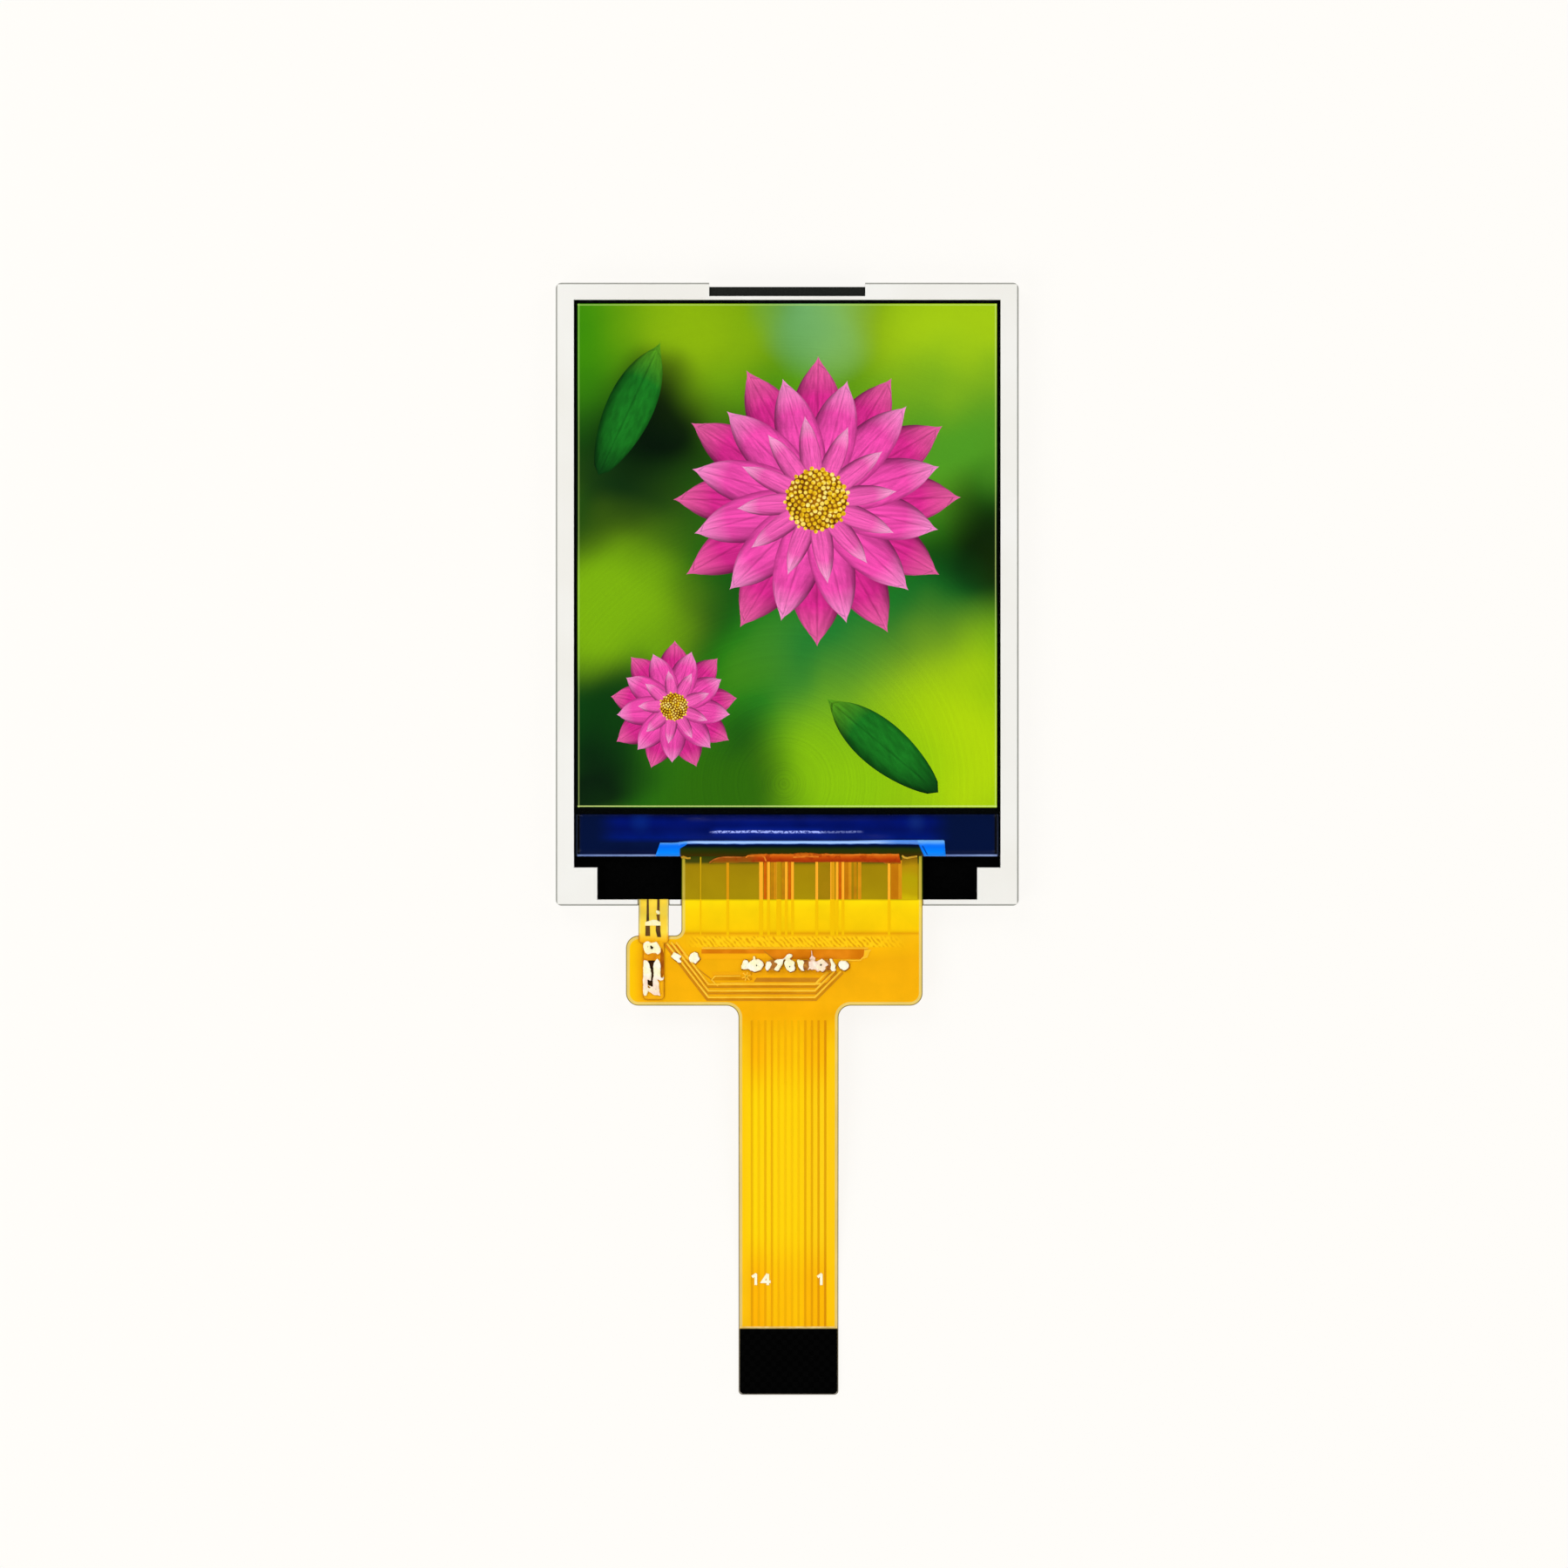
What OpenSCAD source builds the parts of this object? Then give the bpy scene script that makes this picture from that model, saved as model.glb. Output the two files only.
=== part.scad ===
// Small colour display module: a lit liquid crystal cell in a white backlight frame,
// with a flexible circuit whose plug-in tail bends down to the table.
// Millimetres. X runs across the screen, +Y to the top of the picture, +Z to the viewer.
// The origin is the centre of the frame's back face.

/* [Display cell] */
// Width of the lit picture
picture_w = 31.46; // [28:0.02:36]
// Length of the lit picture
picture_l = 37.8; // [34:0.1:42]
// Dark border at the top and sides of the picture
picture_border = 0.17; // [0.12:0.01:0.6]
// Dark border below the picture
bottom_border = 0.51; // [0.3:0.01:1]
// Bare ledge of the array glass below the upper glass
ledge_l = 3.15; // [2.8:0.05:4]
// Thickness of each glass
glass_t = 0.5; // [0.4:0.05:0.6]
// Thickness of the seal and the liquid crystal between the glasses
cell_gap = 0.02; // [0.02:0.01:0.04]
// Thickness of each polariser
polariser_t = 0.13; // [0.1:0.01:0.2]
// Inset of a polariser from the glass edge
polariser_inset = 0.05; // [0.03:0.01:0.1]

/* [Frame] */
// Height of the frame
frame_h = 2.3; // [2.2:0.05:2.6]
// Play between the glass and the frame
glass_gap = 0.1; // [0.05:0.01:0.2]
// Wall beside the glass
side_wall = 1.35; // [1.1:0.05:2]
// Wall above the glass
top_wall = 1.27; // [1.2:0.01:2]
// Wall below the lamp pocket
bottom_wall = 0.45; // [0.4:0.05:1]
// Radius of the frame's outer corners
corner_r = 0.45; // [0.1:0.05:1]
// Chamfer round the frame's front and back edges
frame_chamfer = 0.12; // [0.05:0.01:0.2]
// Length of the tape-covered gap between the array glass and the lamp pocket
ledge_gap = 0.85; // [0.6:0.05:1.2]
// Length of the lamp pocket
lamp_pocket_l = 2.4; // [2.2:0.05:3]
// Width of the lamp pocket
lamp_pocket_w = 28.5; // [27.5:0.1:31]
// Width of the shelf that carries the cell
shelf_w = 0.2; // [0.15:0.01:0.4]
// Width of the notch in the top wall
notch_w = 11.7; // [8:0.1:14]
// Depth of the notch in the top wall
notch_d = 1.01; // [0.7:0.01:1.1]
// Width across the notch of its light-blocking pad
pad_d = 0.7; // [0.4:0.05:0.7]
// Height of the light-blocking pad
pad_h = 1.9; // [1.5:0.1:2.1]

/* [Backlight] */
// Thickness of the reflector sheet
reflector_t = 0.08; // [0.06:0.01:0.15]
// Lap of the reflector on the frame at the sides
reflector_side_lap = 0.45; // [0.42:0.01:0.7]
// Lap of the reflector on the frame at its ends
reflector_end_lap = 0.2; // [0.1:0.01:0.24]
// Thickness of the light guide
guide_t = 0.8; // [0.75:0.05:0.9]
// Play of the light guide and the films in the frame
guide_gap = 0.04; // [0.02:0.01:0.05]
// Depth of the light guide's locating ears
ear_d = 0.4; // [0.2:0.05:0.4]
// Length of the light guide's locating ears
ear_l = 2; // [1:0.1:4]
// Distance between the two ears on one side
ear_pitch = 22; // [10:1:28]
// Thickness of the diffuser
diffuser_t = 0.06; // [0.05:0.01:0.1]
// Thickness of each prism film
prism_t = 0.07; // [0.06:0.01:0.1]
// Thickness of the black shield tape
tape_t = 0.06; // [0.04:0.01:0.1]
// Play of the shield tape in its pocket
tape_gap = 0.03; // [0.02:0.01:0.08]
// Distance between lamps
lamp_pitch = 8.6; // [7:0.1:9.5]
// Width of a lamp
lamp_w = 3.8; // [3:0.1:4.2]
// Depth of a lamp
lamp_d = 1; // [0.8:0.05:1.2]
// Height of a lamp
lamp_h = 0.8; // [0.6:0.05:0.8]
// Play round a lamp
lamp_gap = 0.1; // [0.05:0.05:0.3]

/* [Lamp circuit] */
// Thickness of the lamp circuit
lamp_circuit_t = 0.1; // [0.08:0.01:0.12]
// Length of the strip that carries the lamps
strip_l = 2.75; // [2.4:0.05:3]
// Width of the tape that holds the strip to the light guide
strip_tape_l = 0.8; // [0.5:0.05:0.9]
// Distance of that tape from the strip's ends
strip_tape_inset = 1; // [0.5:0.1:3]
// Middle of the tongue across the frame
tongue_x = -10.02; // [-10.5:0.01:-9.8]
// Width of the tongue
tongue_w = 2.26; // [2:0.02:2.4]
// Width of the tongue's soldered end
tongue_end_w = 1.6; // [1.4:0.05:1.8]
// Width of a supply track on the tongue
supply_track_w = 0.22; // [0.1:0.01:0.3]
// Distance from the tongue's end to the lower edge of the main circuit
tongue_end_gap = 0.45; // [0.3:0.05:1]
// Play of the circuits in the frame's notches
slot_gap = 0.08; // [0.04:0.01:0.1]

/* [Main circuit] */
// Thickness of the flexible film
film_t = 0.1; // [0.08:0.01:0.12]
// Thickness of copper tracks and fingers
copper_t = 0.02; // [0.02:0.005:0.03]
// Thickness of the conductive bond under the circuit and the chip
bond_t = 0.02; // [0.02:0.005:0.03]
// Overlap of the film on the ledge
bond_l = 0.85; // [0.7:0.05:1]
// Film left bare beside the row of bonding fingers, both sides together
bond_margin = 1; // [0.6:0.1:3]
// Width of the bonded film
film_w = 18.08; // [17:0.02:19]
// Middle of the bonded film across the frame
film_x = 1.11; // [0.8:0.01:1.4]
// Length of film between the frame and the wide part of the circuit
film_run = 2.24; // [2.1:0.02:4]
// Width of the wide part
body_w = 22.24; // [21.8:0.02:23]
// Length of the wide part
body_l = 5.26; // [5.1:0.02:6]
// Radius of the wide part's corners
body_r = 0.95; // [0.5:0.05:1.2]
// Middle of the tail across the frame
tail_x = 0.1; // [-1:0.05:1]
// Length of the tail
tail_l = 29.3; // [26:0.1:40]
// Distance from the wide part to the tail's bend
bend_gap = 1.65; // [1.2:0.05:4]
// Distance from the tail's bend to the stiffener
bend_end_gap = 0.7; // [0.2:0.05:3]
// Distance from the wide part to the tail's tracks
track_gap = 1.1; // [0.9:0.05:2]
// Distance between the tracks of the bundle on the wide part
bundle_pitch = 0.49; // [0.35:0.01:0.5]
// Width of a track of the bundle
bundle_track_w = 0.16; // [0.1:0.01:0.25]
// Width of the two bars below the capacitors
bar_w = 0.22; // [0.15:0.01:0.3]
// Distance from the middle of the capacitor row to the lower edge of the upper bar
bar_drop = 0.75; // [0.72:0.01:0.8]
// Distance between those bars
bar_pitch = 0.4; // [0.35:0.01:0.45]
// Length of those bars
bar_l = 8.5; // [6:0.1:10]
// Distance from the bonded film's left edge to those bars
bar_inset = 2.3; // [2:0.1:3]
// Width of the copper field above the capacitors
plane_w = 0.7; // [0.4:0.05:0.7]
// Distance from the wide part's upper edge to that field
plane_drop = 1.05; // [0.8:0.05:1.1]
// Distance from the bonded film's left edge to that field
plane_inset = 1.5; // [1:0.1:2]
// Distance from the bonded film's right edge to that field
plane_end_inset = 3.9; // [3:0.1:6]
// Radius of the neck between the wide part and the tail
neck_r = 0.9; // [0.4:0.05:1]
// Radius of the corners at the tail's end
tail_r = 0.3; // [0.1:0.05:0.5]
// Number of contacts
contact_count = 14; // [12:1:16]
// Distance between contacts
contact_pitch = 0.5; // [0.45:0.01:0.55]
// Width of a contact
contact_w = 0.35; // [0.25:0.01:0.4]
// Length of a contact
contact_l = 4; // [3:0.1:4.5]
// Length of the stiffener
stiffener_l = 4.96; // [4.6:0.02:6]
// Thickness of the stiffener
stiffener_t = 0.18; // [0.1:0.01:0.25]
// Bare film at each side of the stiffener
stiffener_inset = 0.08; // [0.05:0.01:0.2]
// Width of one track down the tail
tail_track_w = 0.16; // [0.1:0.01:0.25]

/* [Chip and glue] */
// Width of the driver chip
chip_w = 11; // [9:0.1:13]
// Depth of the driver chip
chip_d = 0.8; // [0.6:0.05:0.9]
// Thickness of the driver chip
chip_t = 0.3; // [0.2:0.01:0.3]
// Distance from the upper glass to the driver chip
chip_gap = 0.6; // [0.4:0.05:0.7]
// Cover of blue coating over the chip
coat_cover = 0.06; // [0.03:0.01:0.08]
// Bare edge of the ledge below the coating
coat_inset = 0.15; // [0.1:0.01:0.3]
// Reach of the blue glue bead in front of the film
bead_front = 0.26; // [0.2:0.01:0.4]
// Reach of the bead to the left of the film
bead_left = 1.96; // [1.5:0.02:2.2]
// Reach of the bead to the right of the film
bead_right = 1.74; // [1.5:0.02:2.2]
// Height of the bead's ridge above the film
bead_ridge = 0.2; // [0.15:0.01:0.25]
// Cover of the bead over the film
bead_cover = 0.07; // [0.04:0.01:0.1]

/* [Small parts] */
// Length of a chip capacitor
capacitor_l = 1.6; // [1.2:0.05:1.6]
// Width of a chip capacitor
capacitor_w = 0.8; // [0.5:0.05:0.8]
// Height of a chip capacitor
capacitor_h = 0.4; // [0.3:0.02:0.42]
// Length of a capacitor's tinned end
capacitor_end = 0.35; // [0.2:0.01:0.45]
// Step between a capacitor's tinned end and its body
capacitor_step = 0.03; // [0.01:0.01:0.05]
// Distance of the capacitor row from the wide part's upper edge
parts_drop = 2.21; // [2.1:0.01:2.4]
// Height of the solder domes
dome_h = 0.14; // [0.08:0.01:0.2]
// Width of a solder joint on the tongue
joint_w = 0.6; // [0.4:0.02:0.64]
// Length of a solder joint on the tongue
joint_l = 2.7; // [1.8:0.05:2.9]
// Distance from the tongue's end to its long solder joints
joint_margin = 0.2; // [0.1:0.05:0.4]
// Diameter of the round solder joint on the tongue
tongue_dome_d = 1.1; // [0.8:0.05:1.3]
// Distance from the wide part's upper edge to that round joint
tongue_dome_drop = 0.95; // [0.7:0.05:1]

/* [Picture] */
// Radius of the large flower
flower_r = 11.2; // [8:0.1:12]
// Number of petals of the large flower
petal_count = 12; // [8:1:13]
// Radius of the small flower
bud_r = 5; // [4:0.1:5.5]
// Number of petals of the small flower
bud_petal_count = 9; // [7:1:11]
// Length of the dark leaves
leaf_l = 11; // [8:0.5:12]
// Width of the dark leaves
leaf_w = 4; // [2:0.1:4.5]

/* [Hidden] */
$fn = 64;
CUT = 0.5; // overshoot of cutting solids
LAP = 0.05; // overlap of solids that are joined
BEND_STEPS = 10;
lamp_count = 3;

// Places in the picture, as shares of its width from the middle and of its length
// from the bottom, and turns of the leaves
FLOWER_AT = [0.07, 0.61];
BUD_AT = [-0.27, 0.2];
LEAVES = [[0.36, 0.03, 50], [-0.45, 0.66, -25]];
CENTRE_SHARE = 0.2; // of a flower's radius
PETAL_OVERLAP = 1.1; // petal width against its share of half the rim
// Shares of a lamp's width, depth and height that its window takes
WINDOW_SHARE = [0.8, 0.35, 0.6];
BUNDLE_LEAN = 0.77; // run of the track bundle across, for each step down
TRACK_CLEAR = 0.05; // gap between the film's tracks and the glue bead

// Sizes and places in plan, from the middle of the frame
cell_x = picture_w / 2 + picture_border;
pocket_x = cell_x + glass_gap;
frame_x = pocket_x + side_wall;
glass_l = picture_border + picture_l + bottom_border + ledge_l;
frame_l = top_wall + glass_gap + glass_l + ledge_gap + lamp_pocket_l + bottom_wall;
frame_top = frame_l / 2;
frame_bottom = -frame_l / 2;
pocket_top = frame_top - top_wall;
cell_top = pocket_top - glass_gap;
picture_top = cell_top - picture_border;
picture_bottom = picture_top - picture_l;
cell_bottom = picture_bottom - bottom_border;
glass_bottom = cell_bottom - ledge_l;
pocket_bottom = glass_bottom - ledge_gap;
lamp_pocket_x = lamp_pocket_w / 2;
lamp_pocket_bottom = pocket_bottom - lamp_pocket_l;
cavity_x = pocket_x - shelf_w;
cavity_top = pocket_top - shelf_w;
cavity_bottom = pocket_bottom + shelf_w;
notch_y = frame_top - notch_d;

// Heights, from the frame's back face
guide_z = reflector_t;
guide_top = guide_z + guide_t;
shelf_z = guide_top + diffuser_t + 2 * prism_t;
tape_top = shelf_z + tape_t;
array_z = tape_top + polariser_t;
array_top = array_z + glass_t;
upper_z = array_top + cell_gap;
upper_top = upper_z + glass_t;
lamp_circuit_z = shelf_z - lamp_circuit_t;
finger_z = array_top + bond_t;
film_z = finger_z + copper_t;
film_top_z = film_z + film_t;
track_top_z = film_top_z + copper_t;
chip_z = array_top + bond_t;
coat_top_z = chip_z + chip_t + coat_cover;

// Lamps and their circuit
strip_bottom = lamp_pocket_bottom + guide_gap;
strip_top = strip_bottom + strip_l;
strip_x = lamp_pocket_x - lamp_gap;
lamp_y = lamp_pocket_bottom + lamp_gap;
guide_bottom = lamp_y + lamp_d + guide_gap;
films_bottom = strip_top + guide_gap;
post_w = lamp_pitch - lamp_w - 2 * lamp_gap;

// Main circuit
film_edge = glass_bottom + bond_l;
film_left = film_x - film_w / 2;
film_right = film_x + film_w / 2;
body_left = film_right - body_w;
body_top = frame_bottom - film_run;
body_bottom = body_top - body_l;
tail_w = (contact_count + 1) * contact_pitch;
tail_end = body_bottom - tail_l;
bend_start = body_bottom - bend_gap;
bend_end = tail_end + stiffener_l + bend_end_gap;
parts_y = body_top - parts_drop;
tongue_end = body_bottom + tongue_end_gap;
tongue_bend_start = lamp_pocket_bottom - slot_gap;
tongue_bend_end = body_top + slot_gap;
bead_top = film_edge + bead_front;
chip_top_y = cell_bottom - chip_gap;
chip_bottom_y = chip_top_y - chip_d;
tail_track_top = body_bottom - track_gap;

// Middle and width of each track on the bonded film, from the film's middle
FILM_TRACKS = [
    [-7.6, 0.1], [-5.57, 0.2], [-3.07, 0.28], [-2.51, 0.2], [-1.74, 0.34], [-1.18, 0.2],
    [-0.71, 0.2], [1.11, 0.2], [2.29, 0.34], [2.63, 0.2], [3.07, 0.2], [6.53, 0.2]
];
// Middles of the chip capacitors, from the film's middle
CAPACITORS = [-2.06, 0.19, 1.89];
// Solder domes: place from the film's middle and from the capacitor row, and diameter
DOMES = [
    [-4.23, 0, 0.62], [-3.53, 0, 0.95], [-0.93, 0, 0.6], [3.15, -0.02, 0.8],
    [-0.95, 0.62, 0.42], [0.79, 0.6, 0.36], [-8.06, 0.55, 0.8], [-9.31, 0.6, 0.62]
];

// Box between two corners
module box(low, high) {
    translate(low) cube(high - low);
}

// Sheet centred across the frame
module sheet(half_w, bottom, top, z, t) {
    box([-half_w, bottom, z], [half_w, top, z + t]);
}

// Rectangle with round corners
module rounded_rect(left, right, bottom, top, r) {
    translate([left + r, bottom]) square([right - left - 2 * r, top - bottom]);
    translate([left, bottom + r]) square([right - left, top - bottom - 2 * r]);
    for (x = [left + r, right - r], y = [bottom + r, top - r]) translate([x, y]) circle(r);
}

// Fillet in the inner corner at the origin, on the side of +X and -Y when side is 1
module neck_fillet(r, side) {
    mirror([side > 0 ? 0 : 1, 0]) difference() {
        translate([-LAP, -r]) square(r + LAP);
        translate([r, -r]) circle(r);
    }
}

// Track of one width along a list of points
module route(points, w) {
    for (i = [0 : len(points) - 2]) {
        run = points[i + 1] - points[i];
        translate(points[i]) rotate(atan2(run[1], run[0])) translate([0, -w / 2])
            square([norm(run), w]);
    }
    for (p = points) translate(p) circle(w / 2);
}

// Points of two equal tangent arcs that run towards -Y from one level to another,
// lifted off the path by a distance along its normal
function s_bend(y0, z0, y1, z1, lift) =
    let (run = y0 - y1, side = z1 < z0 ? 1 : -1)
    let (turn = 2 * atan(abs(z1 - z0) / run), r = run / (2 * sin(turn)))
    concat(
        [for (i = [0 : BEND_STEPS]) let (a = turn * i / BEND_STEPS)
            [y0 - (r + side * lift) * sin(a), z0 - side * r + side * (r + side * lift) * cos(a)]],
        [for (i = [BEND_STEPS - 1 : -1 : 0]) let (a = turn * i / BEND_STEPS)
            [y1 + (r - side * lift) * sin(a), z1 + side * r - side * (r - side * lift) * cos(a)]]
    );

function reversed(points) = [for (i = [len(points) - 1 : -1 : 0]) points[i]];

// Side view of the main circuit's path between two places
function film_path(top, bottom, lift) = concat(
    [[top, film_z + lift]],
    s_bend(bend_start, film_z, bend_end, copper_t, lift),
    [[bottom, copper_t + lift]]
);

// Side view of the lamp circuit's path
function tongue_path(top, bottom, lift) = concat(
    [[top, lamp_circuit_z + lift]],
    s_bend(tongue_bend_start, lamp_circuit_z, tongue_bend_end, film_top_z, lift),
    [[bottom, film_top_z + lift]]
);

// Layer of thickness t that lies between two offsets of a side view
module layer(lower, upper, left, right) {
    translate([left, 0, 0]) rotate([90, 0, 90])
        linear_extrude(right - left) polygon(concat(lower, reversed(upper)));
}

module film_layer(top, bottom, lift, t, left, right) {
    layer(film_path(top, bottom, lift), film_path(top, bottom, lift + t), left, right);
}

module tongue_layer(top, bottom, lift, t, left, right) {
    layer(tongue_path(top, bottom, lift), tongue_path(top, bottom, lift + t), left, right);
}

// Places of the lamps across the frame
function lamp_x(i) = (i - (lamp_count - 1) / 2) * lamp_pitch;

module ears(d, l, gap) {
    for (side = [-1, 1], y = [-ear_pitch / 2, ear_pitch / 2])
        translate([side * (cavity_x - guide_gap + (d + gap) / 2 - CUT / 2), y, 0])
            square([d + gap + CUT, l + 2 * gap], center = true);
}

// Plan of the frame's opening, shrunk by a gap
module opening_plan(gap, bottom) {
    wide_bottom = cavity_bottom + gap;
    translate([-cavity_x + gap, wide_bottom])
        square([2 * (cavity_x - gap), cavity_top - gap - wide_bottom]);
    narrow_x = lamp_pocket_x - gap;
    translate([-narrow_x, bottom]) square([2 * narrow_x, wide_bottom - bottom + CUT]);
}

// Plan of the pocket for cell and tape, shrunk by a gap
module pocket_plan(gap) {
    wide_bottom = pocket_bottom + gap;
    translate([-pocket_x + gap, wide_bottom])
        square([2 * (pocket_x - gap), pocket_top - gap - wide_bottom]);
    narrow_x = lamp_pocket_x - gap;
    bottom = lamp_pocket_bottom + gap;
    translate([-narrow_x, bottom]) square([2 * narrow_x, wide_bottom - bottom + CUT]);
}

module reflector_plan(gap) {
    x = cavity_x + reflector_side_lap - gap;
    bottom = lamp_pocket_bottom - reflector_end_lap + gap;
    top = cavity_top + reflector_end_lap - gap;
    translate([-x, bottom]) square([2 * x, top - bottom]);
}

// Side view of the frame, with its chamfers
module frame_side(half) {
    c = frame_chamfer;
    polygon([
        [-half, c], [c - half, 0], [half - c, 0], [half, c],
        [half, frame_h - c], [half - c, frame_h], [c - half, frame_h], [-half, frame_h - c]
    ]);
}

module frame_block() {
    intersection() {
        linear_extrude(frame_h)
            rounded_rect(-frame_x, frame_x, frame_bottom, frame_top, corner_r);
        rotate([90, 0, 0]) linear_extrude(frame_l, center = true) frame_side(frame_x);
        rotate([90, 0, 90]) linear_extrude(2 * frame_x, center = true) frame_side(frame_top);
    }
}

// Moulded white frame: stepped pocket, lamp posts, ear pockets and circuit notches
module backlight_frame() {
    color("whitesmoke") {
        difference() {
            frame_block();
            translate([0, 0, shelf_z]) linear_extrude(frame_h) pocket_plan(0);
            translate([0, 0, -CUT]) linear_extrude(frame_h)
                opening_plan(0, lamp_pocket_bottom);
            translate([0, 0, -CUT]) linear_extrude(CUT + reflector_t) reflector_plan(0);
            translate([0, 0, -CUT]) linear_extrude(CUT + guide_top + guide_gap)
                ears(ear_d, ear_l, guide_gap);
            box([-notch_w / 2, notch_y, -CUT], [notch_w / 2, frame_top + CUT, frame_h + CUT]);
            box([tongue_x - tongue_w / 2 - slot_gap, frame_bottom - CUT, lamp_circuit_z],
                [tongue_x + tongue_w / 2 + slot_gap, lamp_pocket_bottom + CUT, frame_h + CUT]);
            box([film_left - slot_gap, frame_bottom - CUT, film_z],
                [film_right + slot_gap, lamp_pocket_bottom + CUT, frame_h + CUT]);
        }
        lamp_posts();
    }
}

// Posts that stand from the lower wall between and beside the lamps
module lamp_posts() {
    post_top = lamp_y + lamp_d - lamp_gap;
    last_x = lamp_x(lamp_count - 1) + lamp_w / 2 + lamp_gap;
    for (i = [0 : lamp_count - 2]) {
        middle = (lamp_x(i) + lamp_x(i + 1)) / 2;
        box([middle - post_w / 2, lamp_pocket_bottom - LAP, reflector_t],
            [middle + post_w / 2, post_top, lamp_circuit_z]);
    }
    for (side = [0, 1]) mirror([side, 0, 0])
        box([last_x, lamp_pocket_bottom - LAP, reflector_t],
            [lamp_pocket_x + shelf_w, post_top, lamp_circuit_z]);
}

module reflector_sheet() {
    color("gainsboro") linear_extrude(reflector_t) reflector_plan(guide_gap);
}

module light_guide() {
    color("aliceblue", 0.8) translate([0, 0, guide_z]) linear_extrude(guide_t) {
        opening_plan(guide_gap, guide_bottom);
        ears(ear_d, ear_l, 0);
    }
}

module optical_film(z, t) {
    sheet(cavity_x - guide_gap, films_bottom, cavity_top - guide_gap, z, t);
}

module diffuser_film() {
    color("white") optical_film(guide_top, diffuser_t);
}

module lower_prism_film() {
    color("lavender") optical_film(guide_top + diffuser_t, prism_t);
}

module upper_prism_film() {
    color("lavender") optical_film(guide_top + diffuser_t + prism_t, prism_t);
}

// Window of one lamp, which faces the light guide
module lamp_window(i, front) {
    window = [for (i = [0 : 2]) [lamp_w, lamp_d, lamp_h][i] * WINDOW_SHARE[i]];
    translate([lamp_x(i) - window[0] / 2, lamp_y + lamp_d - window[1],
        lamp_circuit_z - (lamp_h + window[2]) / 2])
        cube([window[0], window[1] + front, window[2]]);
}

module lamp(i) {
    color("ivory") difference() {
        box([lamp_x(i) - lamp_w / 2, lamp_y, lamp_circuit_z - lamp_h],
            [lamp_x(i) + lamp_w / 2, lamp_y + lamp_d, lamp_circuit_z]);
        lamp_window(i, CUT);
    }
}

module lamp_phosphor() {
    color("gold") for (i = [0 : lamp_count - 1]) lamp_window(i, 0);
}

module lamp_circuit() {
    color("goldenrod") intersection() {
        tongue_layer(strip_top, tongue_end, 0, lamp_circuit_t, -strip_x, strip_x);
        linear_extrude(frame_h + CUT) {
            translate([-strip_x, strip_bottom]) square([2 * strip_x, strip_l]);
            rounded_rect(tongue_x - tongue_w / 2, tongue_x + tongue_w / 2,
                body_top - 2 * tail_r, strip_top, tail_r);
            rounded_rect(tongue_x - tongue_end_w / 2, tongue_x + tongue_end_w / 2,
                tongue_end, strip_top, tail_r);
        }
    }
}

// Two supply tracks on the tongue
module supply_tracks() {
    color("saddlebrown") for (side = [-1, 1])
        translate([tongue_x + side * tongue_end_w / 4, 0, 0])
            tongue_layer(lamp_pocket_bottom, body_top - tail_r, lamp_circuit_t, copper_t,
                -supply_track_w / 2, supply_track_w / 2);
}

module strip_tape() {
    bottom = guide_bottom + guide_gap;
    color("khaki") sheet(strip_x - strip_tape_inset, bottom, bottom + strip_tape_l, guide_top,
        lamp_circuit_z - guide_top);
}

// Black tape that covers the shelf and the lamps and frames the picture
module shield_tape() {
    color("#0a0a0a") translate([0, 0, shelf_z]) linear_extrude(tape_t) difference() {
        pocket_plan(tape_gap);
        translate([-picture_w / 2, picture_bottom]) square([picture_w, picture_l]);
    }
}

module notch_pad() {
    z = (frame_h - pad_h) / 2;
    color("#21251f") sheet(notch_w / 2, notch_y, notch_y + pad_d, z, pad_h);
}

module polariser(z) {
    sheet(cell_x - polariser_inset, cell_bottom + polariser_inset,
        cell_top - polariser_inset, z, polariser_t);
}

module rear_polariser() {
    color("dimgray") polariser(tape_top);
}

module array_glass() {
    color("slategray") sheet(cell_x, glass_bottom, cell_top, array_z, glass_t);
}

module upper_glass() {
    color("lightsteelblue", 0.3) sheet(cell_x, cell_bottom, cell_top, upper_z, glass_t);
}

module front_polariser() {
    color("lightgray", 0.3) polariser(upper_top);
}

module picture_plan() {
    translate([-picture_w / 2, picture_bottom]) square([picture_w, picture_l]);
}

module cell_layer() {
    translate([0, 0, array_top]) linear_extrude(cell_gap) children();
}

module cell_seal() {
    color("black") cell_layer() difference() {
        translate([-cell_x, cell_bottom]) square([2 * cell_x, cell_top - cell_bottom]);
        picture_plan();
    }
}

// Pointed petal or leaf between two arcs, from the origin along +Y
module petal(l, w) {
    r = (l * l + w * w) / (4 * w);
    translate([0, l / 2]) intersection() {
        translate([r - w / 2, 0]) circle(r, $fn = 180);
        translate([w / 2 - r, 0]) circle(r, $fn = 180);
    }
}

module blossom(r, count) {
    for (i = [0 : count - 1])
        rotate(360 / count * i) petal(r, PETAL_OVERLAP * PI * r / count);
}

module in_picture(place) {
    translate([picture_w * place[0], picture_bottom + picture_l * place[1]]) children();
}

module petals_plan() {
    in_picture(FLOWER_AT) blossom(flower_r, petal_count);
    in_picture(BUD_AT) blossom(bud_r, bud_petal_count);
}

module centres_plan() {
    in_picture(FLOWER_AT) circle(flower_r * CENTRE_SHARE);
    in_picture(BUD_AT) circle(bud_r * CENTRE_SHARE);
}

module leaves_plan() {
    for (leaf = LEAVES) in_picture(leaf) rotate(leaf[2]) petal(leaf_l, leaf_w);
}

module liquid_crystal() {
    color("yellowgreen") cell_layer() difference() {
        picture_plan();
        petals_plan();
        centres_plan();
        leaves_plan();
    }
}

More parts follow.
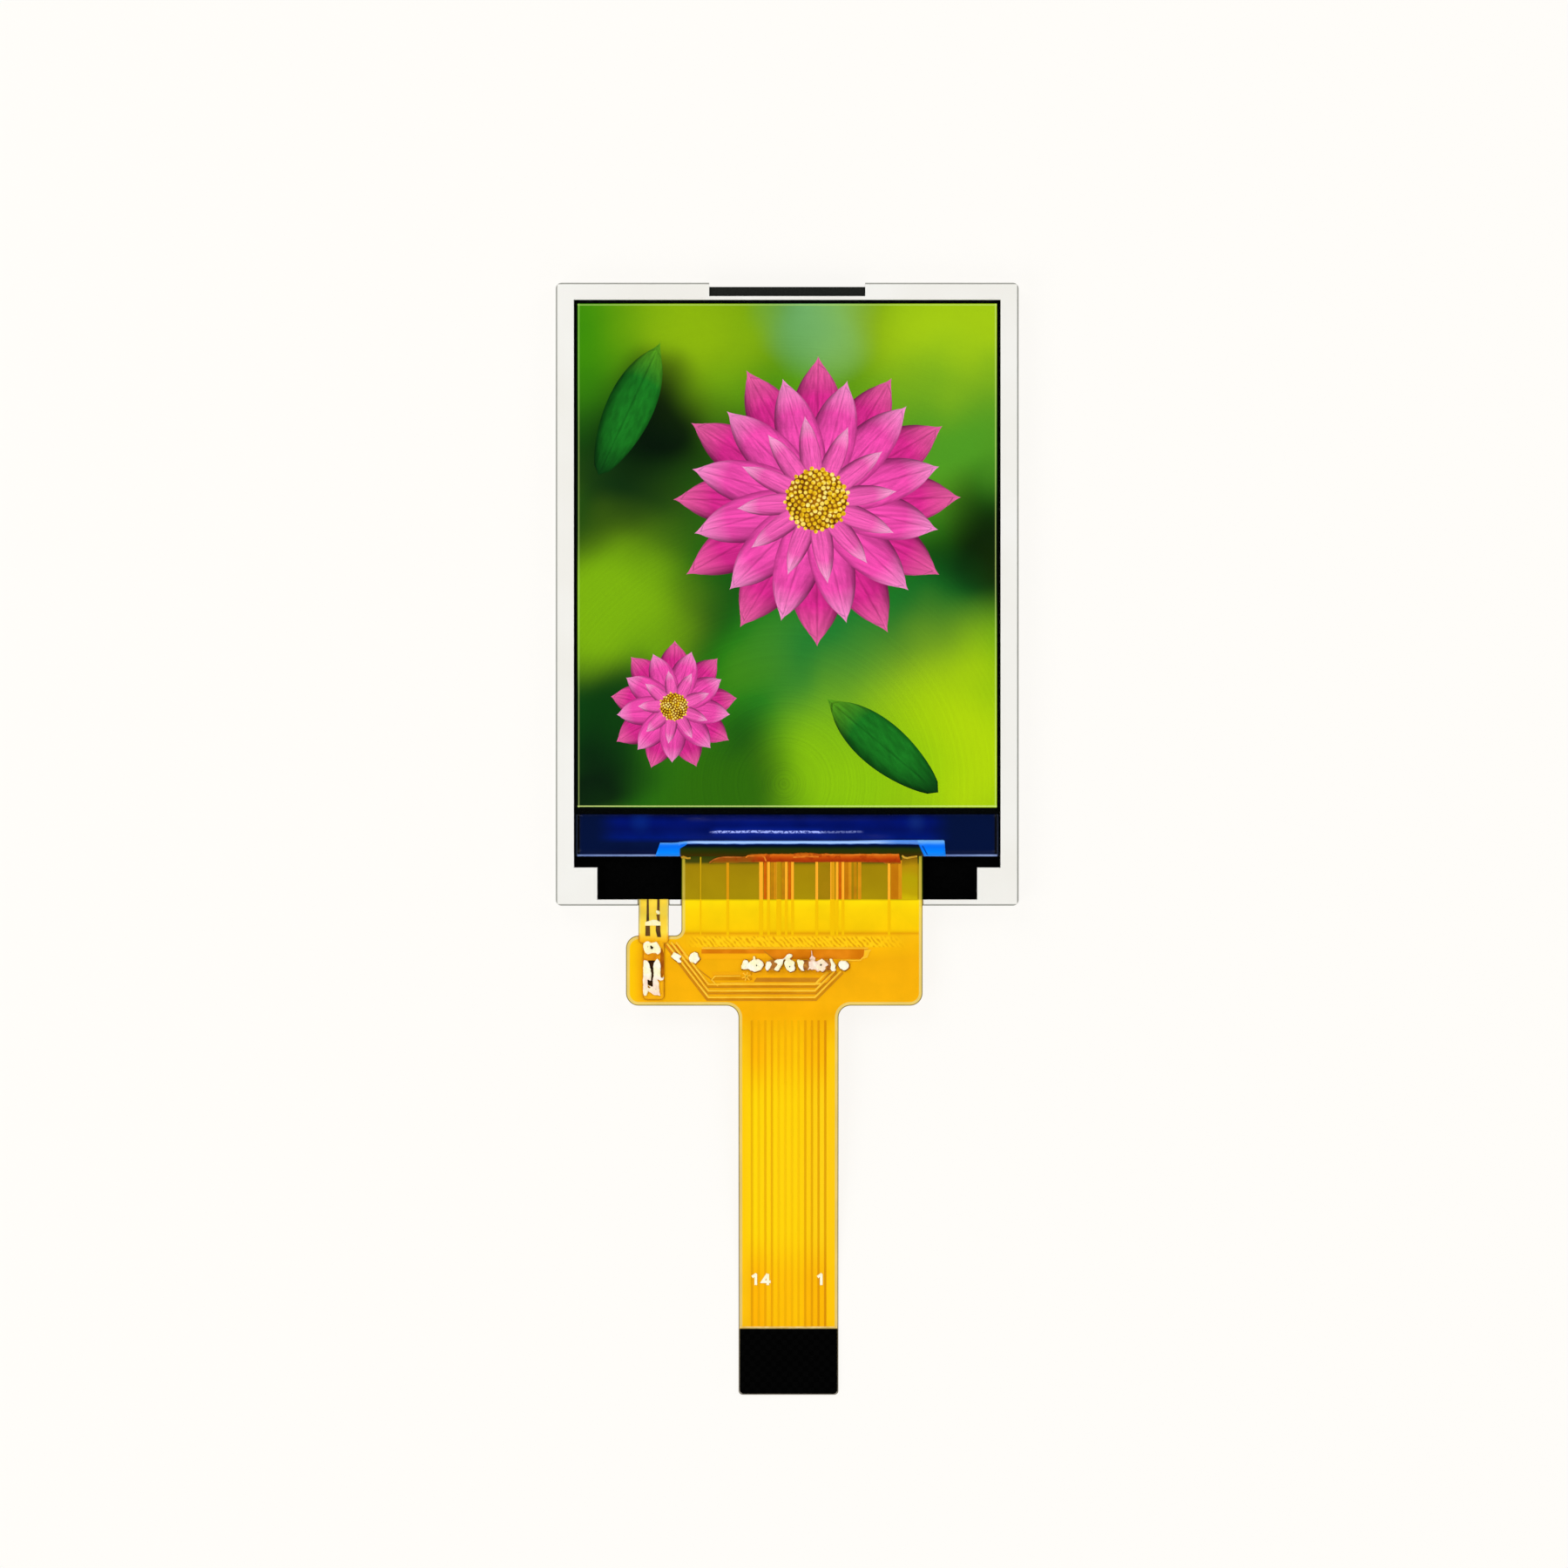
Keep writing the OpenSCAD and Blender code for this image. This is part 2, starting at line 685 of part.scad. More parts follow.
module picture_petals() {
    color("hotpink") cell_layer() difference() {
        intersection() {
            picture_plan();
            petals_plan();
        }
        centres_plan();
    }
}

module picture_centres() {
    color("gold") cell_layer() centres_plan();
}

module picture_leaves() {
    color("darkgreen") cell_layer() difference() {
        intersection() {
            picture_plan();
            leaves_plan();
        }
        petals_plan();
        centres_plan();
    }
}

module chip_bond() {
    color("tan") sheet(chip_w / 2, chip_bottom_y, chip_top_y, array_top, bond_t);
}

module driver_chip() {
    color("#101018") sheet(chip_w / 2, chip_bottom_y, chip_top_y, chip_z, chip_t);
}

// Plan of the glue bead, with round lobes beside the film
module bead_plan() {
    rounded_rect(film_left - bead_left, film_right + bead_right, glass_bottom, bead_top,
        bead_front);
}

// Blue protective coating that buries the chip and slopes down to the glass edge
module ledge_coating() {
    edge = glass_bottom + coat_inset;
    slope = (chip_bottom_y + bead_top) / 2;
    profile = [
        [cell_bottom, array_top], [cell_bottom, coat_top_z], [slope, coat_top_z],
        [(slope + 2 * edge) / 3, (array_top + coat_top_z) / 2], [edge, array_top]
    ];
    side = cell_x - coat_inset;
    color("midnightblue") difference() {
        layer(profile, [], -side, side);
        sheet(chip_w / 2, chip_bottom_y, chip_top_y, array_top - CUT,
            CUT + bond_t + chip_t);
        linear_extrude(frame_h + CUT) bead_plan();
        box([film_left - bead_left, glass_bottom - CUT, 0],
            [film_right + bead_right, glass_bottom + bead_front, frame_h + CUT]);
    }
}

// Bright blue glue bead that laps over the end of the film
module glue_bead() {
    ridge = film_top_z + bead_ridge;
    cover = film_top_z + bead_cover;
    profile = [
        [bead_top, array_top], [bead_top, (array_top + ridge) / 2],
        [bead_top - bead_front / 3, ridge], [film_edge, ridge],
        [film_edge - bead_front, cover], [glass_bottom, cover], [glass_bottom, array_top]
    ];
    color("dodgerblue") difference() {
        intersection() {
            layer(profile, [], film_left - bead_left, film_right + bead_right);
            linear_extrude(frame_h + CUT) bead_plan();
        }
        box([film_left, glass_bottom - CUT, 0], [film_right, film_edge, film_top_z]);
    }
}

module circuit_bond() {
    color("tan") box([film_left, glass_bottom, array_top],
        [film_right, film_edge, array_top + bond_t]);
}

// Row of copper fingers under the bonded end of the film
module bond_fingers() {
    count = floor((film_w - bond_margin) / contact_pitch);
    start = film_x - (count - 1) * contact_pitch / 2;
    color("peru") for (i = [0 : count - 1])
        translate([start + i * contact_pitch - contact_w / 2, glass_bottom, finger_z])
            cube([contact_w, bond_l, copper_t]);
}

module circuit_plan() {
    translate([film_left, body_top - body_r])
        square([film_w, film_edge - body_top + body_r]);
    rounded_rect(body_left, film_right, body_bottom, body_top, body_r);
    translate([film_left, body_top]) mirror([0, 1]) neck_fillet(body_r / 2, -1);
    translate([tail_x - tail_w / 2, tail_end + tail_r])
        square([tail_w, body_bottom - tail_end]);
    rounded_rect(tail_x - tail_w / 2, tail_x + tail_w / 2, tail_end,
        body_bottom, tail_r);
    translate([tail_x - tail_w / 2, body_bottom]) neck_fillet(neck_r, -1);
    translate([tail_x + tail_w / 2, body_bottom]) neck_fillet(neck_r, 1);
}

module main_circuit() {
    color("orange") intersection() {
        film_layer(film_edge, tail_end, 0, film_t, body_left, film_right);
        linear_extrude(frame_h + CUT) circuit_plan();
    }
}

// Bundle of tracks that skirts the capacitor row
module bundle_plan() {
    start = tongue_x + tongue_end_w / 2 + bundle_track_w;
    drop = body_top - 2 * tail_r - bundle_track_w;
    rise_end = parts_y - capacitor_w / 2 - bundle_track_w;
    for (k = [0 : 2]) {
        level = body_bottom + bundle_pitch * (k + 1);
        left = start + (drop - level) * BUNDLE_LEAN;
        right = tail_x + tail_w / 4 + bundle_track_w;
        shift = BUNDLE_LEAN * bundle_pitch * k;
        route([
            [start + shift, drop], [left + shift, level],
            [right, level], [right + rise_end - level, rise_end]
        ], bundle_track_w);
    }
}

// Two bars below the capacitor row
module bars_plan() {
    left = film_left + bar_inset;
    for (i = [0, 1]) translate([left, parts_y - bar_drop - bar_pitch * i])
        square([bar_l, bar_w]);
}

// Copper field above the capacitor row, with one slanted end
module plane_plan() {
    left = film_left + plane_inset;
    right = film_right - plane_end_inset;
    top = body_top - plane_drop;
    polygon([
        [left, top], [right, top], [right - plane_w, top - plane_w],
        [left, top - plane_w]
    ]);
}

module copper_tracks() {
    color("darkorange") {
        translate([0, 0, film_top_z]) linear_extrude(copper_t) {
            for (track = FILM_TRACKS)
                translate([film_x + track[0] - track[1] / 2, body_top])
                    square([track[1], glass_bottom - TRACK_CLEAR - body_top]);
            bundle_plan();
            bars_plan();
            plane_plan();
        }
        for (i = [1 : contact_count - 2]) {
            x = tail_x + (i - (contact_count - 1) / 2) * contact_pitch;
            film_layer(tail_track_top, tail_end + stiffener_l, film_t, copper_t,
                x - tail_track_w / 2, x + tail_track_w / 2);
        }
    }
}

// Ceramic body of one chip capacitor
module capacitor(i) {
    half_l = capacitor_l / 2 - capacitor_end;
    half_w = capacitor_w / 2 - capacitor_step;
    color("sienna") translate([film_x + CAPACITORS[i], parts_y, track_top_z])
        box([-half_l, -half_w, 0], [half_l, half_w, capacitor_h - capacitor_step]);
}

module capacitor_ends() {
    color("oldlace") for (x = CAPACITORS, side = [0, 1])
        translate([film_x + x, parts_y, track_top_z]) mirror([side, 0, 0])
            box([capacitor_l / 2 - capacitor_end, -capacitor_w / 2, 0],
                [capacitor_l / 2, capacitor_w / 2, capacitor_h]);
}

// Low dome, a cap of a ball
module dome(d, h) {
    r = (d * d / 4 + h * h) / (2 * h);
    intersection() {
        translate([0, 0, h - r]) sphere(r);
        cylinder(d = d + CUT, h = h + CUT);
    }
}

module solder_domes() {
    color("oldlace") for (d = DOMES)
        translate([film_x + d[0], parts_y + d[1], track_top_z]) dome(d[2], dome_h);
}

// Soldered joints on the end of the tongue: a round one and two long ones
module supply_joints() {
    z = film_top_z + lamp_circuit_t;
    pitch = tongue_end_w / 2 - joint_w / 2;
    color("oldlace") {
        for (side = [-1, 1])
            translate([tongue_x + side * pitch, tongue_end + joint_margin, z])
                linear_extrude(dome_h)
                    rounded_rect(-joint_w / 2, joint_w / 2, 0, joint_l, joint_w / 4);
        translate([tongue_x, body_top - tongue_dome_drop, z]) dome(tongue_dome_d, dome_h);
    }
}

module tail_stiffener() {
    half_w = tail_w / 2 - stiffener_inset;
    top = tail_end + stiffener_l;
    color("#050505") translate([tail_x, 0, copper_t + film_t])
        linear_extrude(stiffener_t) {
            rounded_rect(-half_w, half_w, tail_end + stiffener_inset, top, tail_r);
            translate([-half_w, top - 2 * tail_r]) square([2 * half_w, 2 * tail_r]);
        }
}

// Gold contacts on the underside of the tail's end
module contact_fingers() {
    color("gold") for (i = [0 : contact_count - 1])
        translate([tail_x + (i - (contact_count - 1) / 2) * contact_pitch, tail_end, 0])
            box([-contact_w / 2, tail_r, 0], [contact_w / 2, contact_l, copper_t]);
}

backlight_frame();
reflector_sheet();
light_guide();
diffuser_film();
lower_prism_film();
upper_prism_film();
lamp(0);  // lamp_1
lamp(1);  // lamp_2
lamp(2);  // lamp_3
lamp_phosphor();
lamp_circuit();
supply_tracks();
strip_tape();
shield_tape();
notch_pad();
rear_polariser();
array_glass();
cell_seal();
liquid_crystal();
picture_petals();
picture_centres();
picture_leaves();
upper_glass();
front_polariser();
driver_chip();
chip_bond();
ledge_coating();
circuit_bond();
bond_fingers();
glue_bead();
main_circuit();
copper_tracks();
capacitor(0);  // capacitor_1
capacitor(1);  // capacitor_2
capacitor(2);  // capacitor_3
capacitor_ends();
solder_domes();
supply_joints();
tail_stiffener();
contact_fingers();
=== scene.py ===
"""Looks of a small colour display module that lies on its back: a lit liquid crystal cell
in a moulded frame, with a flexible circuit whose plug-in tail bends down to the table."""
import math
import random

import bpy
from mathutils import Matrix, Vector, noise


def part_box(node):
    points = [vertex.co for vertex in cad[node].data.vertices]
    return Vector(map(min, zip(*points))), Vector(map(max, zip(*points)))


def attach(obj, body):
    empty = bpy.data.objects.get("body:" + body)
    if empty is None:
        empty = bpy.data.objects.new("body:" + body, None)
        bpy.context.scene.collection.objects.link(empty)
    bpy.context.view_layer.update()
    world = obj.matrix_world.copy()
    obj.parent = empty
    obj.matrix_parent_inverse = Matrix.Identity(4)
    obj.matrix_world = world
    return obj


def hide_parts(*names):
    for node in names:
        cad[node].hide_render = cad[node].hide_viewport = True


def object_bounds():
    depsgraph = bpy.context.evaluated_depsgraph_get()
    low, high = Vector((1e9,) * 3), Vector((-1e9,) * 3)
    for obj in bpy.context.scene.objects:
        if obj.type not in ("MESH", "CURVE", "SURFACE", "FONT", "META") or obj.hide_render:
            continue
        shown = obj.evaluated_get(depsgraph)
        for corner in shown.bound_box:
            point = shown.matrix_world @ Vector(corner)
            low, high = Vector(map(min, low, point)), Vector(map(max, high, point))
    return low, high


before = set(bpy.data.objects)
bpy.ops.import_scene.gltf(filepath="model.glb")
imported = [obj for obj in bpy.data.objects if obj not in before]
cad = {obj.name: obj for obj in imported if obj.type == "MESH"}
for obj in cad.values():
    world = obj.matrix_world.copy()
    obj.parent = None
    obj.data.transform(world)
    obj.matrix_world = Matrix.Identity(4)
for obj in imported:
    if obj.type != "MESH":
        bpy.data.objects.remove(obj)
solid_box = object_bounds()
MM = 0.001


# ---- Camera, lamps and table ------------------------------------------------------------
# The module lies screen up on a pale matt table and is seen from straight above.
# Large soft lamps stand low on all sides, so flat glossy faces mirror the dim ceiling.

def linear(code):
    """sRGB hex, such as F3F1EB, as linear red, green and blue with full alpha."""
    parts = [int(code[i:i + 2], 16) / 255 for i in (0, 2, 4)]
    return [p / 12.92 if p <= 0.04045 else ((p + 0.055) / 1.055) ** 2.4 for p in parts] + [1.0]


def feed(socket, value):
    """Sets a socket: to a value, a hex colour, or what another socket or node gives. A node
    gives its first open output."""
    if isinstance(value, bpy.types.Node):
        value = next(output for output in value.outputs if output.enabled)
    if isinstance(value, bpy.types.NodeSocket):
        socket.id_data.links.new(value, socket)
    else:
        socket.default_value = linear(value) if isinstance(value, str) else value


modes = {"Math": "operation", "VectorMath": "operation", "Mix": "data_type",
         "MapRange": "interpolation_type"}


def add(tree, kind, inputs=(), stops=(), **settings):
    """Adds a shader node of a kind, which a mode may follow. Inputs are a list for its open
    sockets in their order, or a dict; stops are a ramp's places and hex colours."""
    kind, _, mode = kind.partition(" ")
    made = tree.nodes.new("ShaderNode" + kind)
    if mode:
        setattr(made, modes[kind], mode)
    for key, value in settings.items():
        setattr(made, key, value)
    if isinstance(inputs, dict):
        inputs = [(made.inputs[key], value) for key, value in inputs.items()]
    else:
        inputs = list(zip([socket for socket in made.inputs if socket.enabled], inputs))
    for socket, value in inputs:
        feed(socket, value)
    for k, (place, code) in enumerate(stops):
        elements = made.color_ramp.elements
        if k == 0:
            elements.remove(elements[1])
            elements[0].position = place
        element = elements.new(place) if k else elements[0]
        element.color = linear(code)
    return made


camera_lens, camera_sensor, view_width = 200.0, 36.0, 117.5 * MM
aim_left, aim_up = 0.24 * MM, 0.05  # how far off the middle it aims; up is a share of the length
centre = (solid_box[0] + solid_box[1]) / 2
length = solid_box[1].y - solid_box[0].y
camera = bpy.data.objects.new("camera", bpy.data.cameras.new("camera"))
camera.data.lens = camera_lens
camera.data.sensor_width = camera_sensor
camera.data.clip_start = 0.01
camera.location = (
    centre.x - aim_left,
    centre.y + aim_up * length,
    solid_box[1].z + camera_lens / camera_sensor * view_width,
)
bpy.context.scene.collection.objects.link(camera)
bpy.context.scene.camera = camera
bpy.context.scene.view_settings.view_transform = "Standard"

lamp_distance, lamp_size, lamp_height = 0.9, 0.68, math.radians(42)
for name, turn, power in (
    ("lamp_left", 215, 3.6), ("lamp_right", 35, 2.45), ("lamp_back", 125, 3.1),
    ("lamp_front", 305, 2.0),
):
    lamp = bpy.data.objects.new(name, bpy.data.lights.new(name, "AREA"))
    lamp.data.shape = "DISK"
    lamp.data.size = lamp_size
    lamp.data.energy = power
    toward = Vector((math.cos(math.radians(turn)), math.sin(math.radians(turn)), 0))
    away = toward * math.cos(lamp_height) + Vector((0, 0, math.sin(lamp_height)))
    lamp.location = centre + away * lamp_distance
    lamp.rotation_euler = away.to_track_quat("Z", "Y").to_euler()
    bpy.context.scene.collection.objects.link(lamp)

# The room is white near the horizon and dim overhead.
world = bpy.data.worlds.new("room")
world.use_nodes = True
world.node_tree.nodes.clear()
place = add(world.node_tree, "TexCoord").outputs["Object"]
height = add(world.node_tree, "SeparateXYZ", [place]).outputs["Z"]
glow = add(world.node_tree, "ValToRGB", [height], [
    (0.0, "FFFFFF"), (0.1, "FFFFFF"), (0.45, "8A8A8A"), (1.0, "383838")])
room = add(world.node_tree, "Background", {"Color": glow, "Strength": 1.0})
add(world.node_tree, "OutputWorld", {"Surface": room})
bpy.context.scene.world = world

# Pale laminate table: to the eye it is the white of the backdrop with the module's shadow.
table_r, table_gap, table_glow = 3.0, 0.01 * MM, 0.9
bpy.ops.mesh.primitive_circle_add(
    vertices=96, radius=table_r, fill_type="NGON",
    location=(centre.x, centre.y, solid_box[0].z - table_gap))
table = bpy.context.object
table.name = "table"
bpy.ops.object.transform_apply(location=True)
laminate = bpy.data.materials.new("white_laminate")
laminate.use_nodes = True
tree = laminate.node_tree
tree.nodes.clear()
rays = add(tree, "LightPath").outputs
seen = add(tree, "Math MAXIMUM", [rays["Is Camera Ray"], rays["Is Glossy Ray"]])
seen = add(tree, "Math MAXIMUM", [seen, rays["Is Transmission Ray"]])
share = add(tree, "Math MULTIPLY", [seen, table_glow])
matt = add(tree, "BsdfDiffuse", {"Color": "FDFAF5"})
white = add(tree, "Emission", {"Color": "FFFDF9", "Strength": 1.0})
mixed = add(tree, "MixShader", [share, matt, white])
add(tree, "OutputMaterial", {"Surface": mixed})
table.data.materials.append(laminate)


# ---- Backlight frame --------------------------------------------------------------------
# One moulding of white polycarbonate, loaded with titanium dioxide so that no light leaks.
# It leaves the mould satin, with a fine spark-eroded grain; a grey band painted along the top's
# outer edge stands for the shade there.

def begin(name, values):
    """Starts a material: returns it, its tree, its shader and the place in millimetres."""
    made = bpy.data.materials.new(name)
    made.use_nodes = True
    made.node_tree.nodes.clear()
    shader = add(made.node_tree, "BsdfPrincipled", values)
    add(made.node_tree, "OutputMaterial", {"Surface": shader})
    spot = add(made.node_tree, "TexCoord").outputs["Object"]
    spot = add(made.node_tree, "VectorMath SCALE", [spot, 1 / MM])
    return made, made.node_tree, shader, spot


def surface(shader, tone, height=None, strength=0.0, depth=0.0):
    """Gives a shader its colour, and relief that follows a height to a depth in mm."""
    feed(shader.inputs["Base Color"], tone)
    if height:
        feed(shader.inputs["Normal"], add(shader.id_data, "Bump", {
            "Height": height, "Strength": strength, "Distance": depth * MM}))


def dress(material, *names):
    """Gives solids their finish."""
    for name in names:
        for used in cad[name].material_slots:
            used.material = material


frame_low, frame_high = (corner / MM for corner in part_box("backlight_frame"))
edge_shade_w = 0.12  # width of the painted edge shade, in millimetres
moulded_white, tree, shader, spot = begin(
    "moulded_white_polycarbonate", {"Roughness": 0.42, "IOR": 1.58})
drift = add(tree, "TexNoise", [spot, 0.12, 2.0])
tone = add(tree, "ValToRGB", [drift], [(0.35, "F4F3EE"), (0.65, "EFEDE6")])
plan = add(tree, "VectorMath ABSOLUTE", [spot])
plan = add(tree, "VectorMath SUBTRACT", [plan, (frame_high.x - edge_shade_w, frame_high.y - edge_shade_w, 0)])
axes = add(tree, "SeparateXYZ", [plan])
rim = add(tree, "Math MAXIMUM", [axes, axes.outputs[1]])
rim = add(tree, "MapRange", [rim, -0.02, 0.02, 0.0, 1.0])
# The painted edge shade is full on upward faces; the walls under the edge get only a fifth of it.
facing = add(tree, "NewGeometry").outputs["Normal"]
facing = add(tree, "SeparateXYZ", [facing]).outputs[2]
facing = add(tree, "MapRange", [facing, 0.1, 0.4, 0.2, 1.0])
rim = add(tree, "Math MULTIPLY", [rim, facing])
tone = add(tree, "Mix RGBA", [rim, tone, "999A92"])
grain = add(tree, "TexNoise", [spot, 9.0, 3.0])
surface(shader, tone, grain, 0.12, 0.01)
dress(moulded_white, "backlight_frame")


# ---- Pad in the notch -------------------------------------------------------------------
# A strip of black urethane foam, die-cut and pressed into the notch to stop stray light.
# Its open cells show as a coarse dull grain.

foam, tree, shader, spot = begin("black_urethane_foam", {
    "Roughness": 0.9, "Specular IOR Level": 0.2})
cells = add(tree, "TexVoronoi", [spot, 9.0])
tone = add(tree, "ValToRGB", [cells], [(0.0, "0C0E0B"), (0.6, "181A16")])
surface(shader, tone, cells, 0.5, 0.04)
dress(foam, "notch_pad")


# ---- Reflector sheet --------------------------------------------------------------------
# A silvered polyester film glued over the frame's back. Rolling leaves it bright and even,
# with faint long waves.

silvered, tree, shader, spot = begin("silvered_polyester_film", {
    "Metallic": 0.75, "Roughness": 0.3})
waves = add(tree, "TexNoise", [spot, 0.18, 2.0])
tone = add(tree, "ValToRGB", [waves], [(0.3, "E3E3E5"), (0.7, "E9E9EA")])
surface(shader, tone, waves, 0.04, 0.1)
dress(silvered, "reflector_sheet")


# ---- Light guide and optical films ------------------------------------------------------
# A moulded acrylic plate spreads the lamps' light. Above it lie a milky diffuser and two
# prism films, whose grooves run across each other.

acrylic, tree, shader, spot = begin("moulded_acrylic", {"Roughness": 0.12, "IOR": 1.49})
dots = add(tree, "TexVoronoi", [spot, 2.5])
tone = add(tree, "ValToRGB", [dots], [(0.12, "FFFFFF"), (0.2, "E6EDF0")])
surface(shader, tone)
dress(acrylic, "light_guide")

for name, direction in (
    ("diffuser_film", None), ("lower_prism_film", "X"), ("upper_prism_film", "Y"),
):
    optical, tree, shader, spot = begin(name + "_polyester", {"Roughness": 0.35})
    if direction:
        # Prisms stand 0.05 mm apart on the real film, and 0.2 mm apart here.
        pattern = add(tree, "TexWave", [spot, 1.57, 0.0], bands_direction=direction)
    else:
        pattern = add(tree, "TexNoise", [spot, 6.0, 4.0])
    tone = add(tree, "ValToRGB", [pattern.outputs[1 if direction else 0]], [
        (0.2, "E2E6EA"), (0.8, "F4F6F7")])
    surface(shader, tone)
    dress(optical, name)


# ---- Lamps ------------------------------------------------------------------------------
# Three side-view light-emitting diodes in white resin cups, filled with yellow phosphor
# in silicone. They hang under the lamp circuit and face the light guide's edge.

def toned(name, values, scale, detail, stops, stretch=None, socket="Base Color"):
    """A material whose colour only drifts, along a ramp of stops, with one noise. A stretch
    draws the noise out, by its scales along the three axes."""
    made, tree, shader, spot = begin(name, values)
    if stretch:
        spot = add(tree, "Mapping", {"Vector": spot, "Scale": stretch})
    drift = add(tree, "TexNoise", [spot, scale, detail])
    feed(shader.inputs[socket], add(tree, "ValToRGB", [drift], stops))
    return made


resin = toned("white_lamp_resin", {"Roughness": 0.4}, 5.0, 3.0, [(0.3, "EDEBE2"), (0.7, "F7F6F0")])
dress(resin, "lamp_1", "lamp_2", "lamp_3")

phosphor = toned("yellow_phosphor_silicone", {"Roughness": 0.3}, 14.0, 2.0, [
    (0.35, "E9CF3C"), (0.65, "F8E56A")])
dress(phosphor, "lamp_phosphor")

adhesive = toned("acrylic_transfer_tape", {"Roughness": 0.6}, 3.0, 4.0, [
    (0.3, "D2CBB0"), (0.7, "E4DEC8")])
dress(adhesive, "strip_tape")


# ---- Shield tape ------------------------------------------------------------------------
# Black printed polyester tape, stuck over the frame's shelf and the lamps. It frames the
# picture and is matt, almost without a reflection.

black_tape = toned("black_printed_polyester", {"Roughness": 0.5, "Specular IOR Level": 0.012}, 4.0,
    4.0, [(0.35, "010101"), (0.7, "030303")])
dress(black_tape, "shield_tape")


# ---- Glasses and polarisers -------------------------------------------------------------
# Two sheets of display glass, scribed and broken to size, with a polarising film on each
# outer side. The edge of the lower one shows as a thin grey-blue line past the coating.

array_glass, tree, shader, spot = begin("scribed_display_glass", {"Roughness": 0.12, "IOR": 1.52})
chips = add(tree, "TexNoise", [spot, 0.5, 5.0])
tone = add(tree, "ValToRGB", [chips], [(0.3, "6478B0"), (0.7, "90A4D4")])
# Its sides stand in the dark pocket, so their colour is painted dark for that shade; only its
# front edge catches the light.
glass_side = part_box("array_glass")[1].x / MM
side = add(tree, "VectorMath ABSOLUTE", [spot])
side = add(tree, "SeparateXYZ", [side])
side = add(tree, "MapRange", [side, glass_side - 0.2, glass_side - 0.1, 0.0, 1.0])
tone = add(tree, "Mix RGBA", [side, tone, "060B1A"])
surface(shader, tone)
dress(array_glass, "array_glass")

stretched = toned("stretched_polariser_film", {"Roughness": 0.25}, 2.0, 3.0, [
    (0.3, "3C3F3E"), (0.7, "4B4E4D")])
dress(stretched, "rear_polariser")

# Both are nearly clear over the lit picture, so a plain low alpha stands for them.
clear_glass = begin("clear_display_glass", {
    "Base Color": "0B1412", "Roughness": 0.08, "Alpha": 0.05})[0]
dress(clear_glass, "upper_glass")
hard_coat = begin("hard_coated_polariser_film", {
    "Base Color": "0A0C0C", "Roughness": 0.28, "IOR": 1.5, "Alpha": 0.1})[0]
dress(hard_coat, "front_polariser")

border = toned("black_border_resin", {"Roughness": 0.5, "Specular IOR Level": 0.012}, 2.0, 3.0, [
    (0.3, "000101"), (0.7, "020503")])
dress(border, "cell_seal")


# ---- Lit picture ------------------------------------------------------------------------
# The backlight shines through the liquid crystal, which shows a made-up garden picture:
# pink many-petalled flowers with yellow hearts before soft green leaves. It is all one
# layer between the glasses, so every field lies flat and only glows.

# These values make a material that only shines, in the colour that feeds its emission.
lit = {"Base Color": "000000", "Roughness": 1.0, "Specular IOR Level": 0.0,
       "Emission Strength": 1.3}


def settle(piece, material, slot, *stands_for):
    """Gives a finished piece its material, if it has none, and its place in the frame."""
    if material:
        piece.data.materials.clear()
        piece.data.materials.append(material)
    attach(piece, "root")
    if stands_for:
        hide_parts(*stands_for)
    return piece


def active(name):
    """Names the object that was added last and fixes its place in its mesh."""
    piece = bpy.context.object
    piece.name = piece.data.name = name
    bpy.ops.object.transform_apply(location=True, rotation=True, scale=True)
    return piece


def thicken(piece, height, trim=0.0):
    """Extrudes a new flat piece upwards into a closed slab; a trim insets its top."""
    bpy.ops.object.mode_set(mode="EDIT")
    bpy.ops.mesh.select_all(action="SELECT")
    bpy.ops.mesh.extrude_region_move(TRANSFORM_OT_translate={"value": (0, 0, height)})
    if trim:
        bpy.ops.mesh.inset(thickness=trim)
    bpy.ops.mesh.select_all(action="SELECT")
    bpy.ops.mesh.normals_make_consistent(inside=False)
    bpy.ops.object.mode_set(mode="OBJECT")
    return piece


picture_low, picture_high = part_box("liquid_crystal")
picture_w = picture_high.x - picture_low.x
picture_l = picture_high.y - picture_low.y
cell_z, cell_t = picture_low.z, picture_high.z - picture_low.z


def in_picture(across, up):
    """A place in the picture, from shares of its width off the middle and of its length."""
    return Vector((across * picture_w, picture_low.y + up * picture_l, 0))


# Blurred background: each patch is a soft round blot (place, radius, blur and colour).
bokeh = (
    (-0.46, 0.93, 0.24, 0.9, "3F8F05"), (-0.20, 0.97, 0.22, 0.9, "8FB80A"),
    (0.08, 0.98, 0.13, 0.8, "6FAF6A"), (0.42, 0.95, 0.30, 0.9, "A9CF12"),
    (0.40, 0.72, 0.22, 0.9, "4E9A22"), (-0.40, 0.60, 0.30, 0.9, "04210C"),
    (-0.30, 0.76, 0.16, 0.7, "020A04"), (-0.42, 0.40, 0.20, 0.8, "7FB40C"),
    (0.47, 0.50, 0.17, 0.7, "010602"), (0.34, 0.36, 0.16, 0.8, "0E6A24"),
    (0.12, 0.30, 0.22, 0.9, "1D7A2E"), (-0.44, 0.16, 0.16, 0.8, "0B3A0C"),
    (0.44, 0.10, 0.30, 0.8, "B4D808"), (0.16, 0.04, 0.24, 0.9, "8CC40A"),
    (-0.18, 0.02, 0.20, 0.8, "2F6A08"), (-0.47, 0.03, 0.13, 0.7, "06180A"),
)
warp_reach = 5.0  # how far, in mm, the noise bends the blots
garden, tree, shader, spot = begin("lit_garden_background", lit)
warp = add(tree, "TexNoise", [spot, 0.16, 1.0])
warp = add(tree, "VectorMath MULTIPLY_ADD", [
    warp.outputs["Color"], (warp_reach, warp_reach, 0.0), spot])
colour = add(tree, "TexNoise", [spot, 0.09, 1.0])
